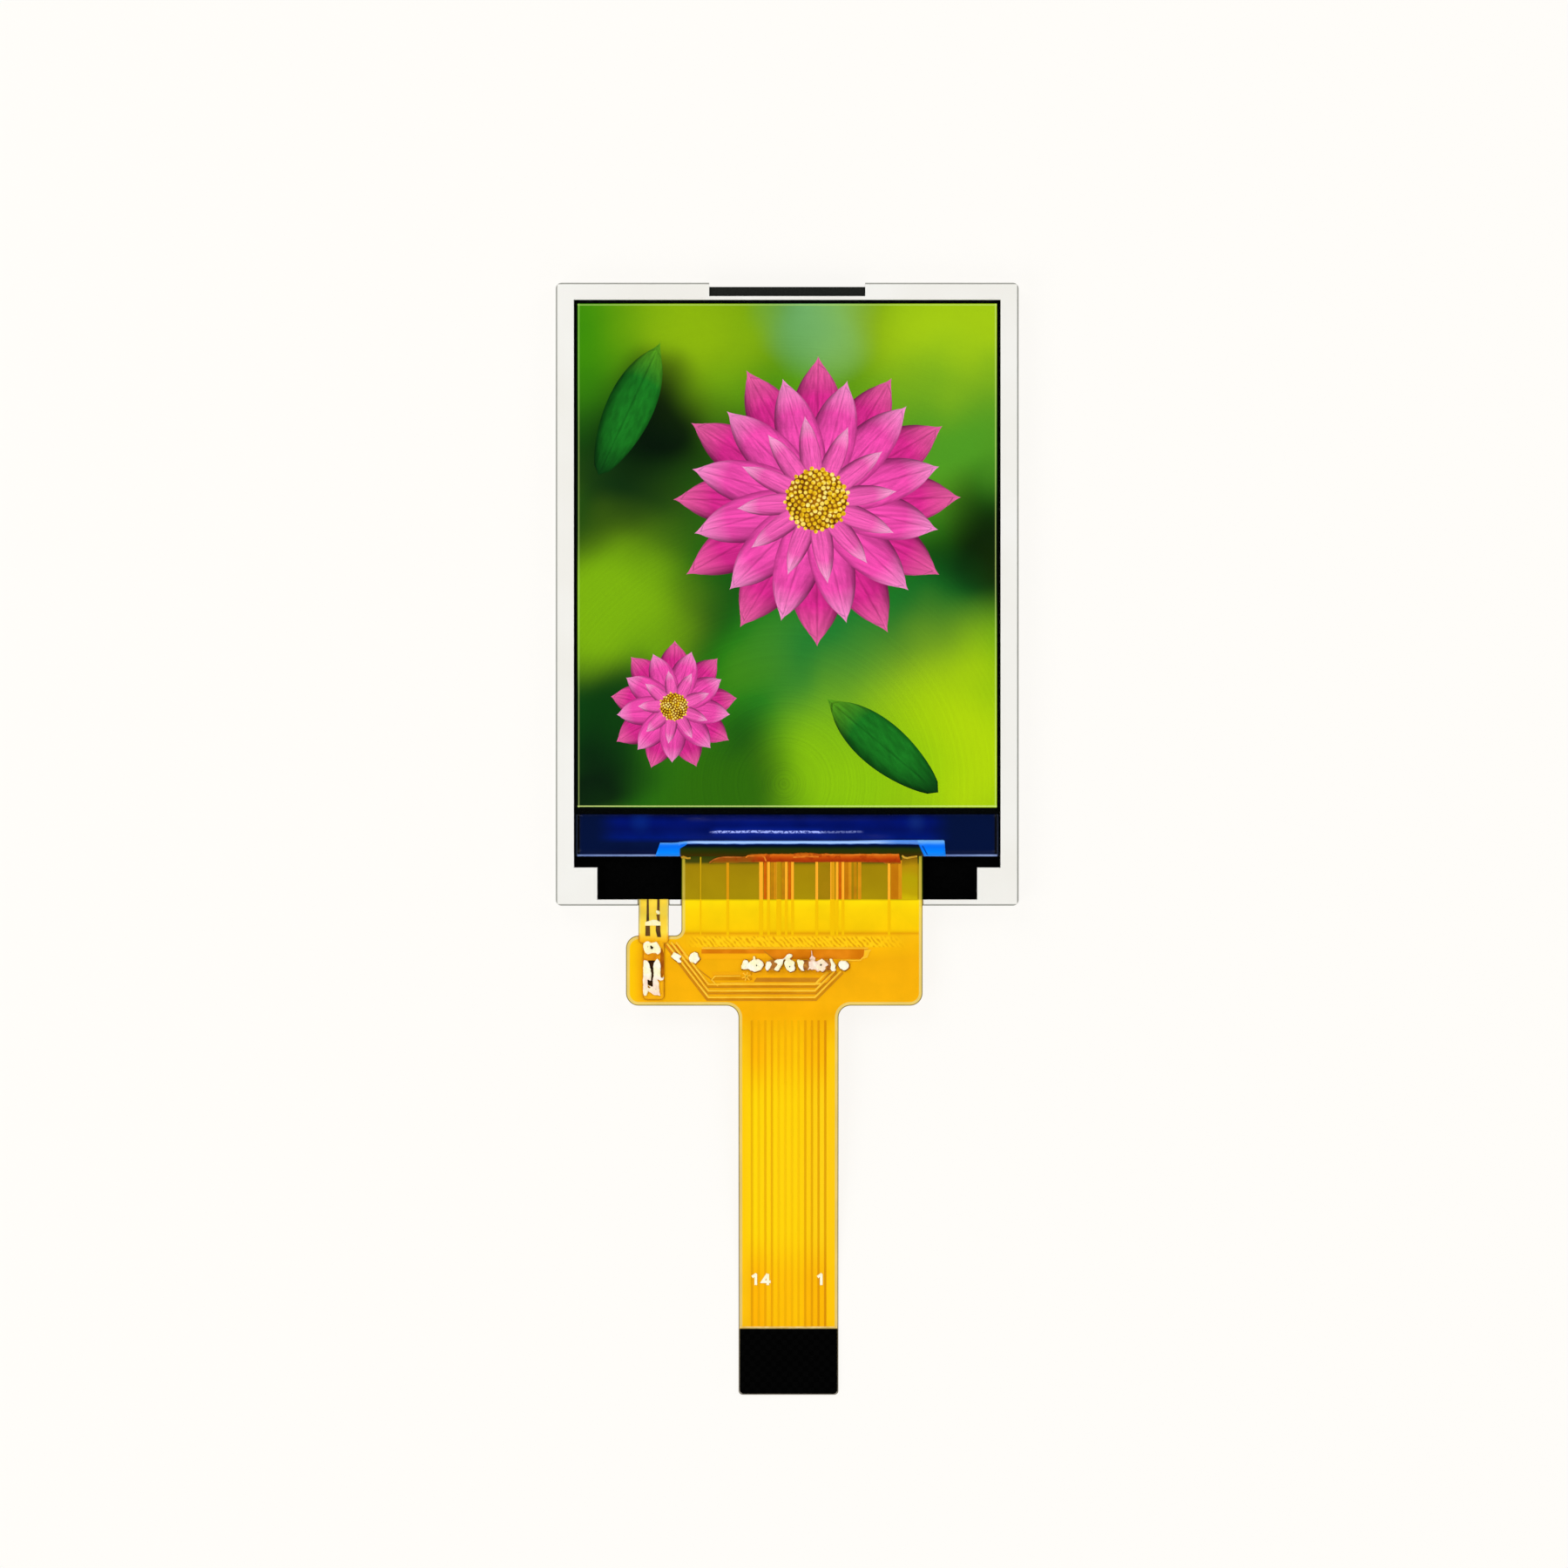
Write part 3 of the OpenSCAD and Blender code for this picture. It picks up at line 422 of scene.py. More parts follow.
colour = add(tree, "ValToRGB", [colour], [(0.35, "0C4A12"), (0.5, "2C7D10"), (0.65, "5C9E12")])
for across, up, radius, blur, code in bokeh:
    middle = in_picture(across, up) / MM + Vector((warp_reach / 2, warp_reach / 2, 0))
    reach = radius * picture_w / MM
    gap = add(tree, "VectorMath MULTIPLY", [warp, (1.0, 1.0, 0.0)])
    gap = add(tree, "VectorMath DISTANCE", [gap, middle])
    part = add(tree, "MapRange SMOOTHSTEP", [
        gap, reach * (1 + blur / 2), reach * (1 - blur), 0.0, 0.94])
    colour = add(tree, "Mix RGBA", [part, colour, code])
# A hair of stray light runs just inside the picture's edges, brightest along the foot.
half = Vector((picture_w / 2, picture_l / 2, 0)) / MM
middle = (picture_low + picture_high) / 2 / MM
from_middle = add(tree, "VectorMath SUBTRACT", [spot, (middle.x, middle.y, 0.0)])
axes = add(tree, "SeparateXYZ", [from_middle]).outputs
for axis, side, glow in ((0, -1, 0.3), (0, 1, 0.45), (1, 1, 0.35), (1, -1, 0.85)):
    inset = add(tree, "Math MULTIPLY_ADD", [axes[axis], -side, half[axis] - 0.1])
    inset = add(tree, "Math ABSOLUTE", [inset])
    inset = add(tree, "MapRange SMOOTHSTEP", [inset, 0.01, 0.065, glow, 0.0])
    colour = add(tree, "Mix RGBA", [inset, colour, "DDF28C"])
feed(shader.inputs["Emission Color"], colour)

ground_t = 0.3 * cell_t
bpy.ops.mesh.primitive_plane_add(
    size=1, location=((picture_low.x + picture_high.x) / 2,
                      (picture_low.y + picture_high.y) / 2, cell_z))
bpy.context.object.scale = (picture_w, picture_l, 1)
ground = thicken(active("picture_background"), ground_t, 0.07 * MM)
settle(ground, garden, "lit_green", "liquid_crystal")

# Petals are made one at a time on a small grid, whose own map runs along and across each.

def flat_blade(name, foot, turn, long, wide, level, tilt, tip):
    """A flat petal or leaf from its foot, with its widest part towards the tip."""
    bpy.ops.mesh.primitive_grid_add(
        x_subdivisions=10, y_subdivisions=20, size=1, location=(0, 0, 0), calc_uvs=True)
    blade = bpy.context.object
    blade.name = name
    for point in blade.data.vertices:
        along, side = point.co.y + 0.5, point.co.x * 2
        swell = math.sin(math.pi * along ** tip) ** 0.62 * (0.55 + 0.45 * along)
        bow = 1 - 0.06 * side * side * along
        point.co = (side * swell * wide / 2, along * bow * long, tilt * side)
    blade.rotation_euler.z = turn
    blade.location = foot + Vector((0, 0, level))
    bpy.ops.object.transform_apply(location=True, rotation=True)
    return blade


def gather(name, blades):
    """Joins the blades of one ring into one piece."""
    bpy.ops.object.select_all(action="DESELECT")
    for blade in blades:
        blade.select_set(True)
    bpy.context.view_layer.objects.active = blades[0]
    bpy.ops.object.join()
    ring = bpy.context.object
    ring.name = ring.data.name = name
    bpy.ops.object.mode_set(mode="EDIT")
    bpy.ops.mesh.select_all(action="SELECT")
    bpy.ops.mesh.remove_doubles(threshold=1e-8)
    bpy.ops.object.mode_set(mode="OBJECT")
    return ring


def petal_tones(name, foot_code, mid_code, tip_code, vein_scale):
    """Petal colour from foot to tip, with fine veins along it and a shaded side."""
    made, tree, shader, spot = begin(name, lit)
    blade_map = add(tree, "UVMap", uv_map="UVMap")
    axes = add(tree, "SeparateXYZ", [blade_map]).outputs
    run = add(tree, "ValToRGB", [axes[1]], [
        (0.0, foot_code), (0.3, mid_code), (0.72, mid_code), (1.0, tip_code)])
    thread = add(tree, "Mapping", {"Vector": blade_map, "Scale": (vein_scale, 1.2, 1)})
    thread = add(tree, "VectorMath ADD", [thread, spot])
    thread = add(tree, "TexNoise", [thread, 1.0, 3.0])
    shade = add(tree, "MapRange", [thread, 0.3, 0.7, 0.72, 1.1])
    side = add(tree, "ValToRGB", [axes[0]], [
        (0.0, "7A7A7A"), (0.2, "E2E2E2"), (0.47, "FFFFFF"), (0.5, "D8D8D8"), (0.54, "FFFFFF"),
        (0.9, "F4F4F4"), (1.0, "B8B8B8")])
    tone = add(tree, "VectorMath SCALE", [side, shade])
    tone = add(tree, "VectorMath MULTIPLY", [tone, run])
    feed(shader.inputs["Emission Color"], tone)
    return made


back_petals = petal_tones("lit_pink_petals_back", "A01048", "E02C92", "F06AA8", 14.0)
front_petals = petal_tones("lit_pink_petals_front", "C2185A", "FB4FB4", "FF9AD6", 14.0)
short_petals = petal_tones("lit_pink_petals_short", "B4124A", "FF62BC", "FFB4DE", 12.0)
blade_leaf = petal_tones("lit_green_leaf", "0A3A10", "1B7A20", "5FA51C", 8.0)

random.seed(7)
flowers = (
    ("large_flower", in_picture(0.07, 0.61), 11.4 * MM, 12),
    ("small_flower", in_picture(-0.27, 0.2), 5.1 * MM, 9),
)
rings = (
    ("outer_petals", 1.0, 0.62, 0.0, 0.46, back_petals, "picture_petals"),
    ("middle_petals", 0.86, 0.6, 0.5, 0.60, front_petals, None),
    ("inner_petals", 0.56, 0.42, 0.25, 0.74, short_petals, None),
)
for flower, heart, reach, count in flowers:
    for ring_name, long, wide, shift, level, material, node in rings:
        blades = []
        for k in range(count):
            turn = 2 * math.pi * (k + shift + random.uniform(-0.06, 0.06)) / count
            blades.append(flat_blade(
                "blade", heart, turn, reach * long * random.uniform(0.94, 1.0),
                reach * long * wide * random.uniform(0.94, 1.04) * 9.5 / count,
                cell_z + level * cell_t, 0.03 * cell_t, 0.72))
        ring = gather(flower + "_" + ring_name, blades)
        settle(ring, material, "lit_pink", *([node] if node else []))

# Hearts: a low disc of tiny florets set on the golden-angle spiral.
heart_colour = toned("lit_yellow_florets", lit, 2.4, 2.0, [
    (0.3, "C88A08"), (0.5, "F5CC1E"), (0.7, "FFF08A")], socket="Emission Color")
heart_shade = toned("lit_brown_heart", lit, 1.2, 2.0, [(0.3, "5A2A08"), (0.7, "A86A0C")],
    socket="Emission Color")
golden_angle = math.radians(137.508)
heart_share, florets_per_petal, disc_level, floret_level = 0.2, 11, 0.83, 0.92
for flower, heart, reach, count in flowers:
    disc_r = heart_share * reach
    bpy.ops.mesh.primitive_circle_add(
        vertices=48, radius=disc_r, fill_type="TRIFAN",
        location=heart + Vector((0, 0, cell_z + disc_level * cell_t)))
    disc = active(flower + "_heart")
    settle(disc, heart_shade, "lit_yellow",
           *(["picture_centres"] if flower == "large_flower" else []))
    florets = []
    floret_count = florets_per_petal * count
    for k in range(floret_count):
        out = disc_r * 1.06 * math.sqrt((k + 0.5) / floret_count)
        way = k * golden_angle
        bpy.ops.mesh.primitive_circle_add(
            vertices=8, radius=disc_r * random.uniform(0.055, 0.085), fill_type="NGON",
            location=heart + Vector((out * math.cos(way), out * math.sin(way),
                                     cell_z + floret_level * cell_t)))
        bpy.ops.object.transform_apply(location=True)
        florets.append(bpy.context.object)
    settle(gather(flower + "_florets", florets), heart_colour, "lit_yellow")

# Two dark leaves lie behind the flowers.
leaves = []
leaf_l, leaf_w, leaf_level = 11.0 * MM, 0.42 * 11.0 * MM, 0.38
for across, up, turn in ((0.36, 0.03, 50), (-0.45, 0.66, -25)):
    leaves.append(flat_blade(
        "leaf", in_picture(across, up), math.radians(turn), leaf_l, leaf_w,
        cell_z + leaf_level * cell_t, 0.0, 0.8))
settle(gather("garden_leaves", leaves), blade_leaf, "lit_dark_green", "picture_leaves")


# ---- Ledge coating ----------------------------------------------------------------------
# Navy silicone, poured along the glass ledge as a liquid to seal the driver chip and its
# lines. It levels to a glossy low hump over the chip and thins out towards the film.

coat_low, coat_high = (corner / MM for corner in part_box("ledge_coating"))
chip_low, chip_high = (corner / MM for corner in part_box("driver_chip"))
bond_low, bond_high = (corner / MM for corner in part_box("circuit_bond"))
chip_y = (chip_low.y + chip_high.y) / 2
coat_edge_h = 0.11  # height of the coating's rounded edge


def step(value, start, end):
    """Runs smoothly from 0 to 1 while the value goes from start to end."""
    share = min(max((value - start) / (end - start), 0.0), 1.0)
    return share * share * (3 - 2 * share)


def poured(name, columns, rows, low, high, shape):
    """A poured piece: a slab with a flat foot, whose top and sides follow shape(x, y)."""
    bpy.ops.mesh.primitive_grid_add(
        x_subdivisions=columns, y_subdivisions=rows, size=1,
        location=((low.x + high.x) / 2 * MM, (low.y + high.y) / 2 * MM, low.z * MM))
    bpy.context.object.scale = ((high.x - low.x) * MM, (high.y - low.y) * MM, 1)
    piece = thicken(active(name), 0.1 * MM)
    for point in piece.data.vertices:
        raised = point.co.z > (low.z + 0.05) * MM
        x, y, top = shape(point.co.x / MM, point.co.y / MM)
        point.co = Vector((x, y, top if raised else low.z)) * MM
    bpy.ops.object.shade_smooth_by_angle(angle=math.radians(50))
    return piece


def coat_shape(x, y):
    """The coating's front edge draws back round the film, and its top humps over the chip."""
    past_film = step(abs(x - (bond_low.x + bond_high.x) / 2),
                     (bond_high.x - bond_low.x) / 2, (bond_high.x - bond_low.x) / 2 + 0.25)
    front = (bond_high.y + 0.12) * (1 - past_film) + coat_low.y * past_film
    share = (y - coat_low.y) / (coat_high.y - coat_low.y)
    y = front + (coat_high.y - front) * share
    hump = math.exp(-((y - chip_y) / 0.78) ** 4) * (1 - step(abs(x), chip_high.x + 0.1, 9.5))
    side = step(share, 0.0, 0.12) * step(1 - share, -0.02, 0.05)
    side *= step(coat_high.x - abs(x), -0.05, 0.3)
    top = coat_low.z + 0.02 + coat_edge_h * side
    return x, y, top + (coat_high.z - top) * hump


coating = poured("navy_coating", 200, 36, coat_low, coat_high, coat_shape)
navy, tree, shader, spot = begin("navy_poured_silicone", {
    "Roughness": 0.24, "IOR": 1.41, "Specular IOR Level": 0.12})
axes = add(tree, "SeparateXYZ", [spot]).outputs
run = add(tree, "MapRange", [axes[1], coat_low.y, coat_high.y, 0.0, 1.0])
band = add(tree, "ValToRGB", [run], [(0.0, "020C36"), (0.12, "04113A"), (0.28, "05143E"),
    (0.42, "011872"), (0.5, "021567"), (0.62, "02105C"), (0.82, "01126A"), (0.93, "010E55"),
    (1.0, "010A3C")])
cloud = add(tree, "TexNoise", [spot, 0.42, 3.0])
shade = add(tree, "MapRange", [cloud, 0.3, 0.7, 0.78, 1.2])
tone = add(tree, "VectorMath SCALE", [band, shade])
reach = add(tree, "Math ABSOLUTE", [axes[0]])
uneven = add(tree, "Math ADD", [axes[0], 1.0])
uneven = add(tree, "Math ABSOLUTE", [uneven])
ends = add(tree, "MapRange SMOOTHSTEP", [uneven, 11.0, 13.6, 0.0, 1.0])
tone = add(tree, "Mix RGBA", [ends, tone, "041239"])
strip = add(tree, "MapRange", [reach, coat_high.x - 0.24, coat_high.x - 0.14, 0.0, 1.0])
tone = add(tree, "Mix RGBA", [strip, tone, "010206"])
# A ragged pale line of painted highlight runs along the chip's front edge, in a soft painted glow.
ragged = add(tree, "Mapping", {"Vector": spot, "Scale": (2.6, 2.6, 1.0)})
ragged = add(tree, "TexNoise", [ragged, 2.4, 5.0])
sway = add(tree, "TexNoise", [spot, 0.7, 1.0])
wander = add(tree, "Math MULTIPLY_ADD", [sway, 0.12, chip_low.y + 0.02])
off = add(tree, "Math SUBTRACT", [axes[1], wander])
off = add(tree, "Math ABSOLUTE", [off])
start = add(tree, "MapRange", [axes[0], -5.9, -5.3, 0.0, 1.0])
faint = add(tree, "MapRange", [axes[0], 2.4, 2.8, 1.0, 0.35])
stop = add(tree, "MapRange", [axes[0], 5.2, 5.8, 1.0, 0.0])
patchy = add(tree, "MapRange", [ragged, 0.4, 0.55, 0.15, 1.0])
glow = add(tree, "MapRange SMOOTHSTEP", [off, 0.5, 0.05, 0.0, 0.55])
line = add(tree, "MapRange SMOOTHSTEP", [off, 0.13, 0.03, 0.0, 1.0])
line = add(tree, "Math MULTIPLY", [line, patchy])
for part in (start, faint, stop):
    glow = add(tree, "Math MULTIPLY", [glow, part])
    line = add(tree, "Math MULTIPLY", [line, part])
for part, code in ((glow, "0A2596"), (line, "A3B4FF")):
    tone = add(tree, "Mix RGBA", [part, tone, code])
# Two faint blots of flow marks lie near the ends.
for x, y, size, code in ((-11.0, -17.0, 1.2, "0A2E86"), (9.6, -17.1, 1.1, "17347E")):
    gap = add(tree, "VectorMath DISTANCE", [spot, (x, y, 2.0)])
    gap = add(tree, "Math MULTIPLY_ADD", [cloud, 1.2, gap])
    blot = add(tree, "MapRange SMOOTHSTEP", [gap, size + 0.6, 0.4, 0.0, 0.55])
    tone = add(tree, "Mix RGBA", [blot, tone, code])
flow = add(tree, "Mapping", {"Vector": spot, "Scale": (0.5, 2.2, 1.0)})
flow = add(tree, "TexNoise", [flow, 0.9, 2.0])
surface(shader, tone, flow, 0.25, 0.06)
settle(coating, navy, "navy_silicone", "ledge_coating")


# ---- Driver chip and bonding films ------------------------------------------------------
# A bare silicon die, face down on the glass, with a ground back. It and the film's copper
# fingers are held by an amber film full of tiny gold-plated balls, set under a hot bar.

silicon = toned("ground_silicon", {"Roughness": 0.32, "IOR": 3.4, "Specular IOR Level": 0.5}, 2.0,
    2.0, [(0.3, "33373E"), (0.7, "4B5058")], (0.6, 14.0, 1.0))
dress(silicon, "driver_chip")

ball_film, tree, shader, spot = begin("ball_filled_bond_film", {"Roughness": 0.45, "IOR": 1.55})
balls = add(tree, "TexVoronoi", [spot, 12.0])
tone = add(tree, "ValToRGB", [balls], [(0.1, "C79A4A"), (0.25, "9A5B1C"), (0.6, "8A4A12")])
surface(shader, tone)
dress(ball_film, "chip_bond", "circuit_bond")

finger_copper = toned("rolled_copper_fingers", {"Metallic": 1.0, "Roughness": 0.38}, 1.5, 2.0, [
    (0.3, "C06A33"), (0.7, "D98B52")], (6.0, 0.8, 1.0))
dress(finger_copper, "bond_fingers")


# ---- Glue bead --------------------------------------------------------------------------
# Light-cured blue adhesive along the film's bonded edge. It stands as two bright lobes on
# the bare glass, a pale raised line between them, and a thin skin over the film's end.
# The paleness of that line and of the lobes' back edges is a painted highlight.

bead_low, bead_high = (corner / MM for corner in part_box("glue_bead"))
circuit_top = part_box("main_circuit")[1].z / MM
lobe_left, lobe_right, lobe_high = bond_low.x - 0.14, bond_high.x - 0.17, 1.84


def limited(tree, share, *limits):
    """A share, or 1 for None, cut off by limits: sockets and their values for 0 and 1."""
    for value, start, end in limits:
        edge = add(tree, "MapRange", [value, start, end, 0.0, 1.0])
        share = edge if share is None else add(tree, "Math MULTIPLY", [share, edge])
    return share


def bead_shape(x, y):
    """The bead's two slanted ends, and its ridge that falls to a skin over the film."""
    share = (y - bead_low.y) / (bead_high.y - bead_low.y)
    back = bead_high.y - 0.08 + 0.14 * step(x, -9.0, -7.0) + 0.06 * step(x, 4.0, 8.0)
    front = bead_low.y + 0.02
    y = front + (back - front) * share
    x += 0.36 * share * step(-7.0 - x, 0.0, 2.8) - 0.1 * share * step(x - 10.5, 0.0, 1.3)
    over = step(x, lobe_left - 0.1, lobe_left + 0.15) * (
        1 - step(x, lobe_right - 0.25, lobe_right + 0.6 - 0.3 * share))
    low_end = lobe_high + 0.17 * step(share, 0.0, 0.2)
    lobe = low_end - 0.12 * (1 - step(1 - share, 0.0, 0.12))
    ridge = step(share, 0.74, 0.84) * (1 - 0.6 * step(share, 0.92, 1.0))
    skin = circuit_top + 0.035 + (bead_high.z - circuit_top - 0.035) * ridge
    ends = step(x, bead_low.x - 0.15, bead_low.x + 0.2)
    ends *= step(bead_high.x + 0.15 - x, 0.0, 0.35)
    top = lobe + (skin - lobe) * over
    return x, y, bead_low.z + 0.01 + (top - bead_low.z - 0.01) * ends


bead = poured("blue_glue_bead", 220, 24, bead_low, bead_high, bead_shape)
blue, tree, shader, spot = begin("light_cured_blue_adhesive", {
    "Roughness": 0.2, "IOR": 1.5, "Specular IOR Level": 0.15})
axes = add(tree, "SeparateXYZ", [spot]).outputs
sway = add(tree, "TexNoise", [spot, 0.8, 2.0])
sway = add(tree, "Math MULTIPLY_ADD", [sway, 0.12, axes[1]])
run = add(tree, "MapRange", [sway, bead_low.y, bead_high.y + 0.06, 0.0, 1.0])
lobes = add(tree, "ValToRGB", [run], [
    (0.0, "38A0FF"), (0.1, "0A8AFE"), (0.4, "0482FF"), (0.66, "0370F8"), (0.8, "1C7CFA"),
    (0.9, "4A9CFC"), (1.0, "6AB0FC")])
skins = add(tree, "ValToRGB", [run], [
    (0.0, "5A3406"), (0.1, "3E2C04"), (0.26, "2E2E03"), (0.5, "22320A"), (0.64, "0A1A14"),
    (0.7, "000C26"), (0.8, "021040"), (0.85, "3C6AC8"), (0.88, "96C0FF"), (0.94, "B6DAFF"),
    (1.0, "8CB8FF")])
# Towards the lobes the ridge's painted highlight sinks into the blue.
ridge_end = add(tree, "Math ABSOLUTE", [axes[0]])
ridge_end = add(tree, "MapRange SMOOTHSTEP", [ridge_end, 6.4, 8.4, 0.0, 0.75])
high = add(tree, "MapRange", [run, 0.84, 0.87, 0.0, 1.0])
ridge_end = add(tree, "Math MULTIPLY", [ridge_end, high])
skins = add(tree, "Mix RGBA", [ridge_end, skins, "2F7FEA"])
slant = add(tree, "Math MULTIPLY_ADD", [run, -0.52, lobe_right + 0.32])
turned = add(tree, "MapRange SMOOTHSTEP", [run, 0.5, 0.86, lobe_left, lobe_left + 0.55])
left = add(tree, "Math SUBTRACT", [axes[0], turned])
left = add(tree, "MapRange", [left, -0.03, 0.06, 1.0, 0.0])
right = add(tree, "Math SUBTRACT", [axes[0], slant])
right = add(tree, "MapRange", [right, -0.05, 0.06, 0.0, 1.0])
lobe_part = add(tree, "Math MAXIMUM", [left, right])
tone = add(tree, "Mix RGBA", [lobe_part, skins, lobes])
# A dark line of painted crease shade runs beside the right lobe's slanted edge.
crease_shade = add(tree, "Math MULTIPLY_ADD", [run, -0.63, lobe_right + 0.62])
crease_shade = add(tree, "Math SUBTRACT", [axes[0], crease_shade])
crease_shade = add(tree, "Math ABSOLUTE", [crease_shade])
crease_shade = add(tree, "MapRange SMOOTHSTEP", [crease_shade, 0.03, 0.08, 0.85, 0.0])
crease_shade = limited(tree, crease_shade, (run, 0.78, 0.7), (run, 0.1, 0.2))
tone = add(tree, "Mix RGBA", [crease_shade, tone, "06308C"])
surface(shader, tone, sway, 0.15, 0.05)
settle(bead, blue, "blue_glue", "glue_bead")


# ---- Main circuit -----------------------------------------------------------------------
# Flexible circuit of copper on amber polyimide, punched to shape. Over the dark tape the
# film looks olive, over the white frame lemon yellow, and its doubled body is deep amber.
# A band of painted shade runs along the film's edge, and a pale rim runs round inside it.

def cut_out(node, name, edge_shade_w, rim_w, *materials):
    """A merged copy of a flat circuit, whose upper faces get a band of painted edge shade
    and a rim inside it. The materials are those of the edge shade, the rim and the two faces."""
    bpy.ops.object.select_all(action="DESELECT")
    piece = bpy.data.objects.new(name, cad[node].data.copy())
    bpy.context.scene.collection.objects.link(piece)
    piece.data.materials.clear()
    for material in materials:
        piece.data.materials.append(material)
    piece.select_set(True)
    bpy.context.view_layer.objects.active = piece
    bpy.ops.object.mode_set(mode="EDIT")
    bpy.ops.mesh.select_all(action="SELECT")
    bpy.ops.mesh.remove_doubles(threshold=2e-6)
    bpy.ops.mesh.dissolve_limited(angle_limit=math.radians(0.4))
    bpy.ops.mesh.select_all(action="DESELECT")
    bpy.ops.object.mode_set(mode="OBJECT")
    for face in piece.data.polygons:
        face.select = face.normal.z > 0.5
        face.material_index = 2 if face.normal.z < -0.5 else 0
    for index, width in ((1, edge_shade_w), (2, rim_w)):
        bpy.ops.object.mode_set(mode="EDIT")
        bpy.ops.mesh.select_mode(type="FACE")
        bpy.ops.mesh.inset(thickness=width * MM, depth=0)
        bpy.ops.object.mode_set(mode="OBJECT")
        for face in piece.data.polygons:
            if face.select:
                face.material_index = index
    return piece


circuit_low, circuit_high = (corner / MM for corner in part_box("main_circuit"))
tape_edge_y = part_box("shield_tape")[0].y / MM
neck_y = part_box("supply_joints")[0].y / MM - 0.65
row_y = (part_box("capacitor_1")[0].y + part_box("capacitor_1")[1].y) / 2 / MM
tail_half_w = 4.0
tail_middle_y = (neck_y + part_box("tail_stiffener")[1].y / MM) / 2


def amber_film(name, stops, bump):
    """Amber film, coloured from its glass end to its plug end by the places of stops."""
    made, tree, shader, spot = begin(name, {
        "Roughness": 0.34, "IOR": 1.6, "Specular IOR Level": 0.08})
    axes = add(tree, "SeparateXYZ", [spot]).outputs
    run = add(tree, "MapRange", [axes[1], circuit_high.y, circuit_low.y, 0.0, 1.0])
    full = circuit_high.y - circuit_low.y
    places = [((circuit_high.y - y) / full, code) for y, code in stops]
    tone = add(tree, "ValToRGB", [run], places)
    cloud = add(tree, "TexNoise", [spot, 0.5, 3.0])
    shade = add(tree, "MapRange", [cloud, 0.3, 0.7, 0.95, 1.05])
    tone = add(tree, "VectorMath SCALE", [tone, shade])
    weave = add(tree, "TexNoise", [spot, 3.5, 3.0])
    relief = add(tree, "Bump", {"Height": weave, "Strength": bump, "Distance": 0.02 * MM})
    feed(shader.inputs["Normal"], relief)
    return made, tree, shader, spot, tone


def halfway_down(tree, axes):
    """1 about half way down the tail, 0 towards both its ends."""
    away = add(tree, "Math SUBTRACT", [axes[1], tail_middle_y])
    away = add(tree, "Math ABSOLUTE", [away])
    return add(tree, "MapRange SMOOTHSTEP", [away, 8.7, 4.5, 0.0, 1.0])


film_face, tree, shader, spot, tone = amber_film("amber_polyimide", (
    (-18.8, "1A3004"), (-19.6, "2C3C04"), (-20.1, "46460A"), (-20.3, "A08204"),
    (-22.6, "A58A04"), (tape_edge_y + 0.02, "A58A04"), (tape_edge_y - 0.06, "FEDD05"),
    (-23.6, "F9D003"), (-25.2, "F8C802"), (-25.42, "E49E02"), (-25.56, "F5B80A"),
    (-26.5, "F7B605"), (-27.4, "F2AD06"), (-30.6, "F7B106"), (-31.6, "F5AD01"),
    (-33.0, "F8B802"), (-37.0, "FECE03"), (-46.0, "FECB02"), (-50.0, "FCBE02"),
    (-55.0, "FBB804"), (-60.15, "FBB807")), 0.12)
axes = add(tree, "SeparateXYZ", [spot]).outputs
# The body's free end is brighter, and the heat-pressed seam is hatched.
end = add(tree, "MapRange SMOOTHSTEP", [axes[0], -10.9, -11.7, 0.0, 0.8])
tone = add(tree, "Mix RGBA", [end, tone, "FDC905"])
# Down the tail the film's tone shifts from line to line.
across = add(tree, "MapRange", [axes[0], -tail_half_w, tail_half_w, 0.0, 1.0])
columns = add(tree, "ValToRGB", [across], [
    (0.06, "FBC614"), (0.15, "F6BA08"), (0.18, "FFB202"), (0.27, "FFB502"), (0.3, "FEC208"),
    (0.42, "FEC602"), (0.5, "FDBE03"), (0.58, "FDC803"), (0.64, "FDC602"), (0.67, "FBB502"),
    (0.84, "FBB702"), (0.88, "FDC808")])
part = add(tree, "MapRange", [axes[1], -31.4, -34.0, 0.0, 0.6])
tone = add(tree, "Mix RGBA", [part, tone, columns])
yellow = add(tree, "ValToRGB", [across], [
    (0.1, "FCCC05"), (0.2, "FCDA04"), (0.3, "FDD605"), (0.6, "FDD404"), (0.72, "FCCE0A"),
    (0.83, "FCD414"), (0.9, "FCC80B")])
part = add(tree, "Math MULTIPLY", [halfway_down(tree, axes), 0.85])
tone = add(tree, "Mix RGBA", [part, tone, yellow])
hatch_turn, hatch_pitch = math.radians(42), 0.27
hatch = add(tree, "Mapping", {"Vector": spot, "Rotation": (0, 0, hatch_turn)},
    vector_type="TEXTURE")
hatch = add(tree, "TexWave", [hatch, math.tau / 20 / hatch_pitch, 3.0, 1.0, 1.6])
worn = add(tree, "TexNoise", [spot, 2.6, 1.0])
worn = add(tree, "MapRange", [worn, 0.36, 0.6, 0.15, 0.95])
hatch = add(tree, "Math MULTIPLY", [hatch.outputs[1], worn])
pressed = add(tree, "ValToRGB", [hatch], [(0.0, "FFD016"), (0.3, "FAC20C"), (0.9, "DC9804")])
pressed_share = limited(tree, 0.9, (axes[1], -25.6, -25.7), (axes[1], -26.5, -26.4),
                        (axes[0], -7.6, -6.2), (axes[0], 9.0, 6.6))
tone = add(tree, "Mix RGBA", [pressed_share, tone, pressed])
surface(shader, tone)

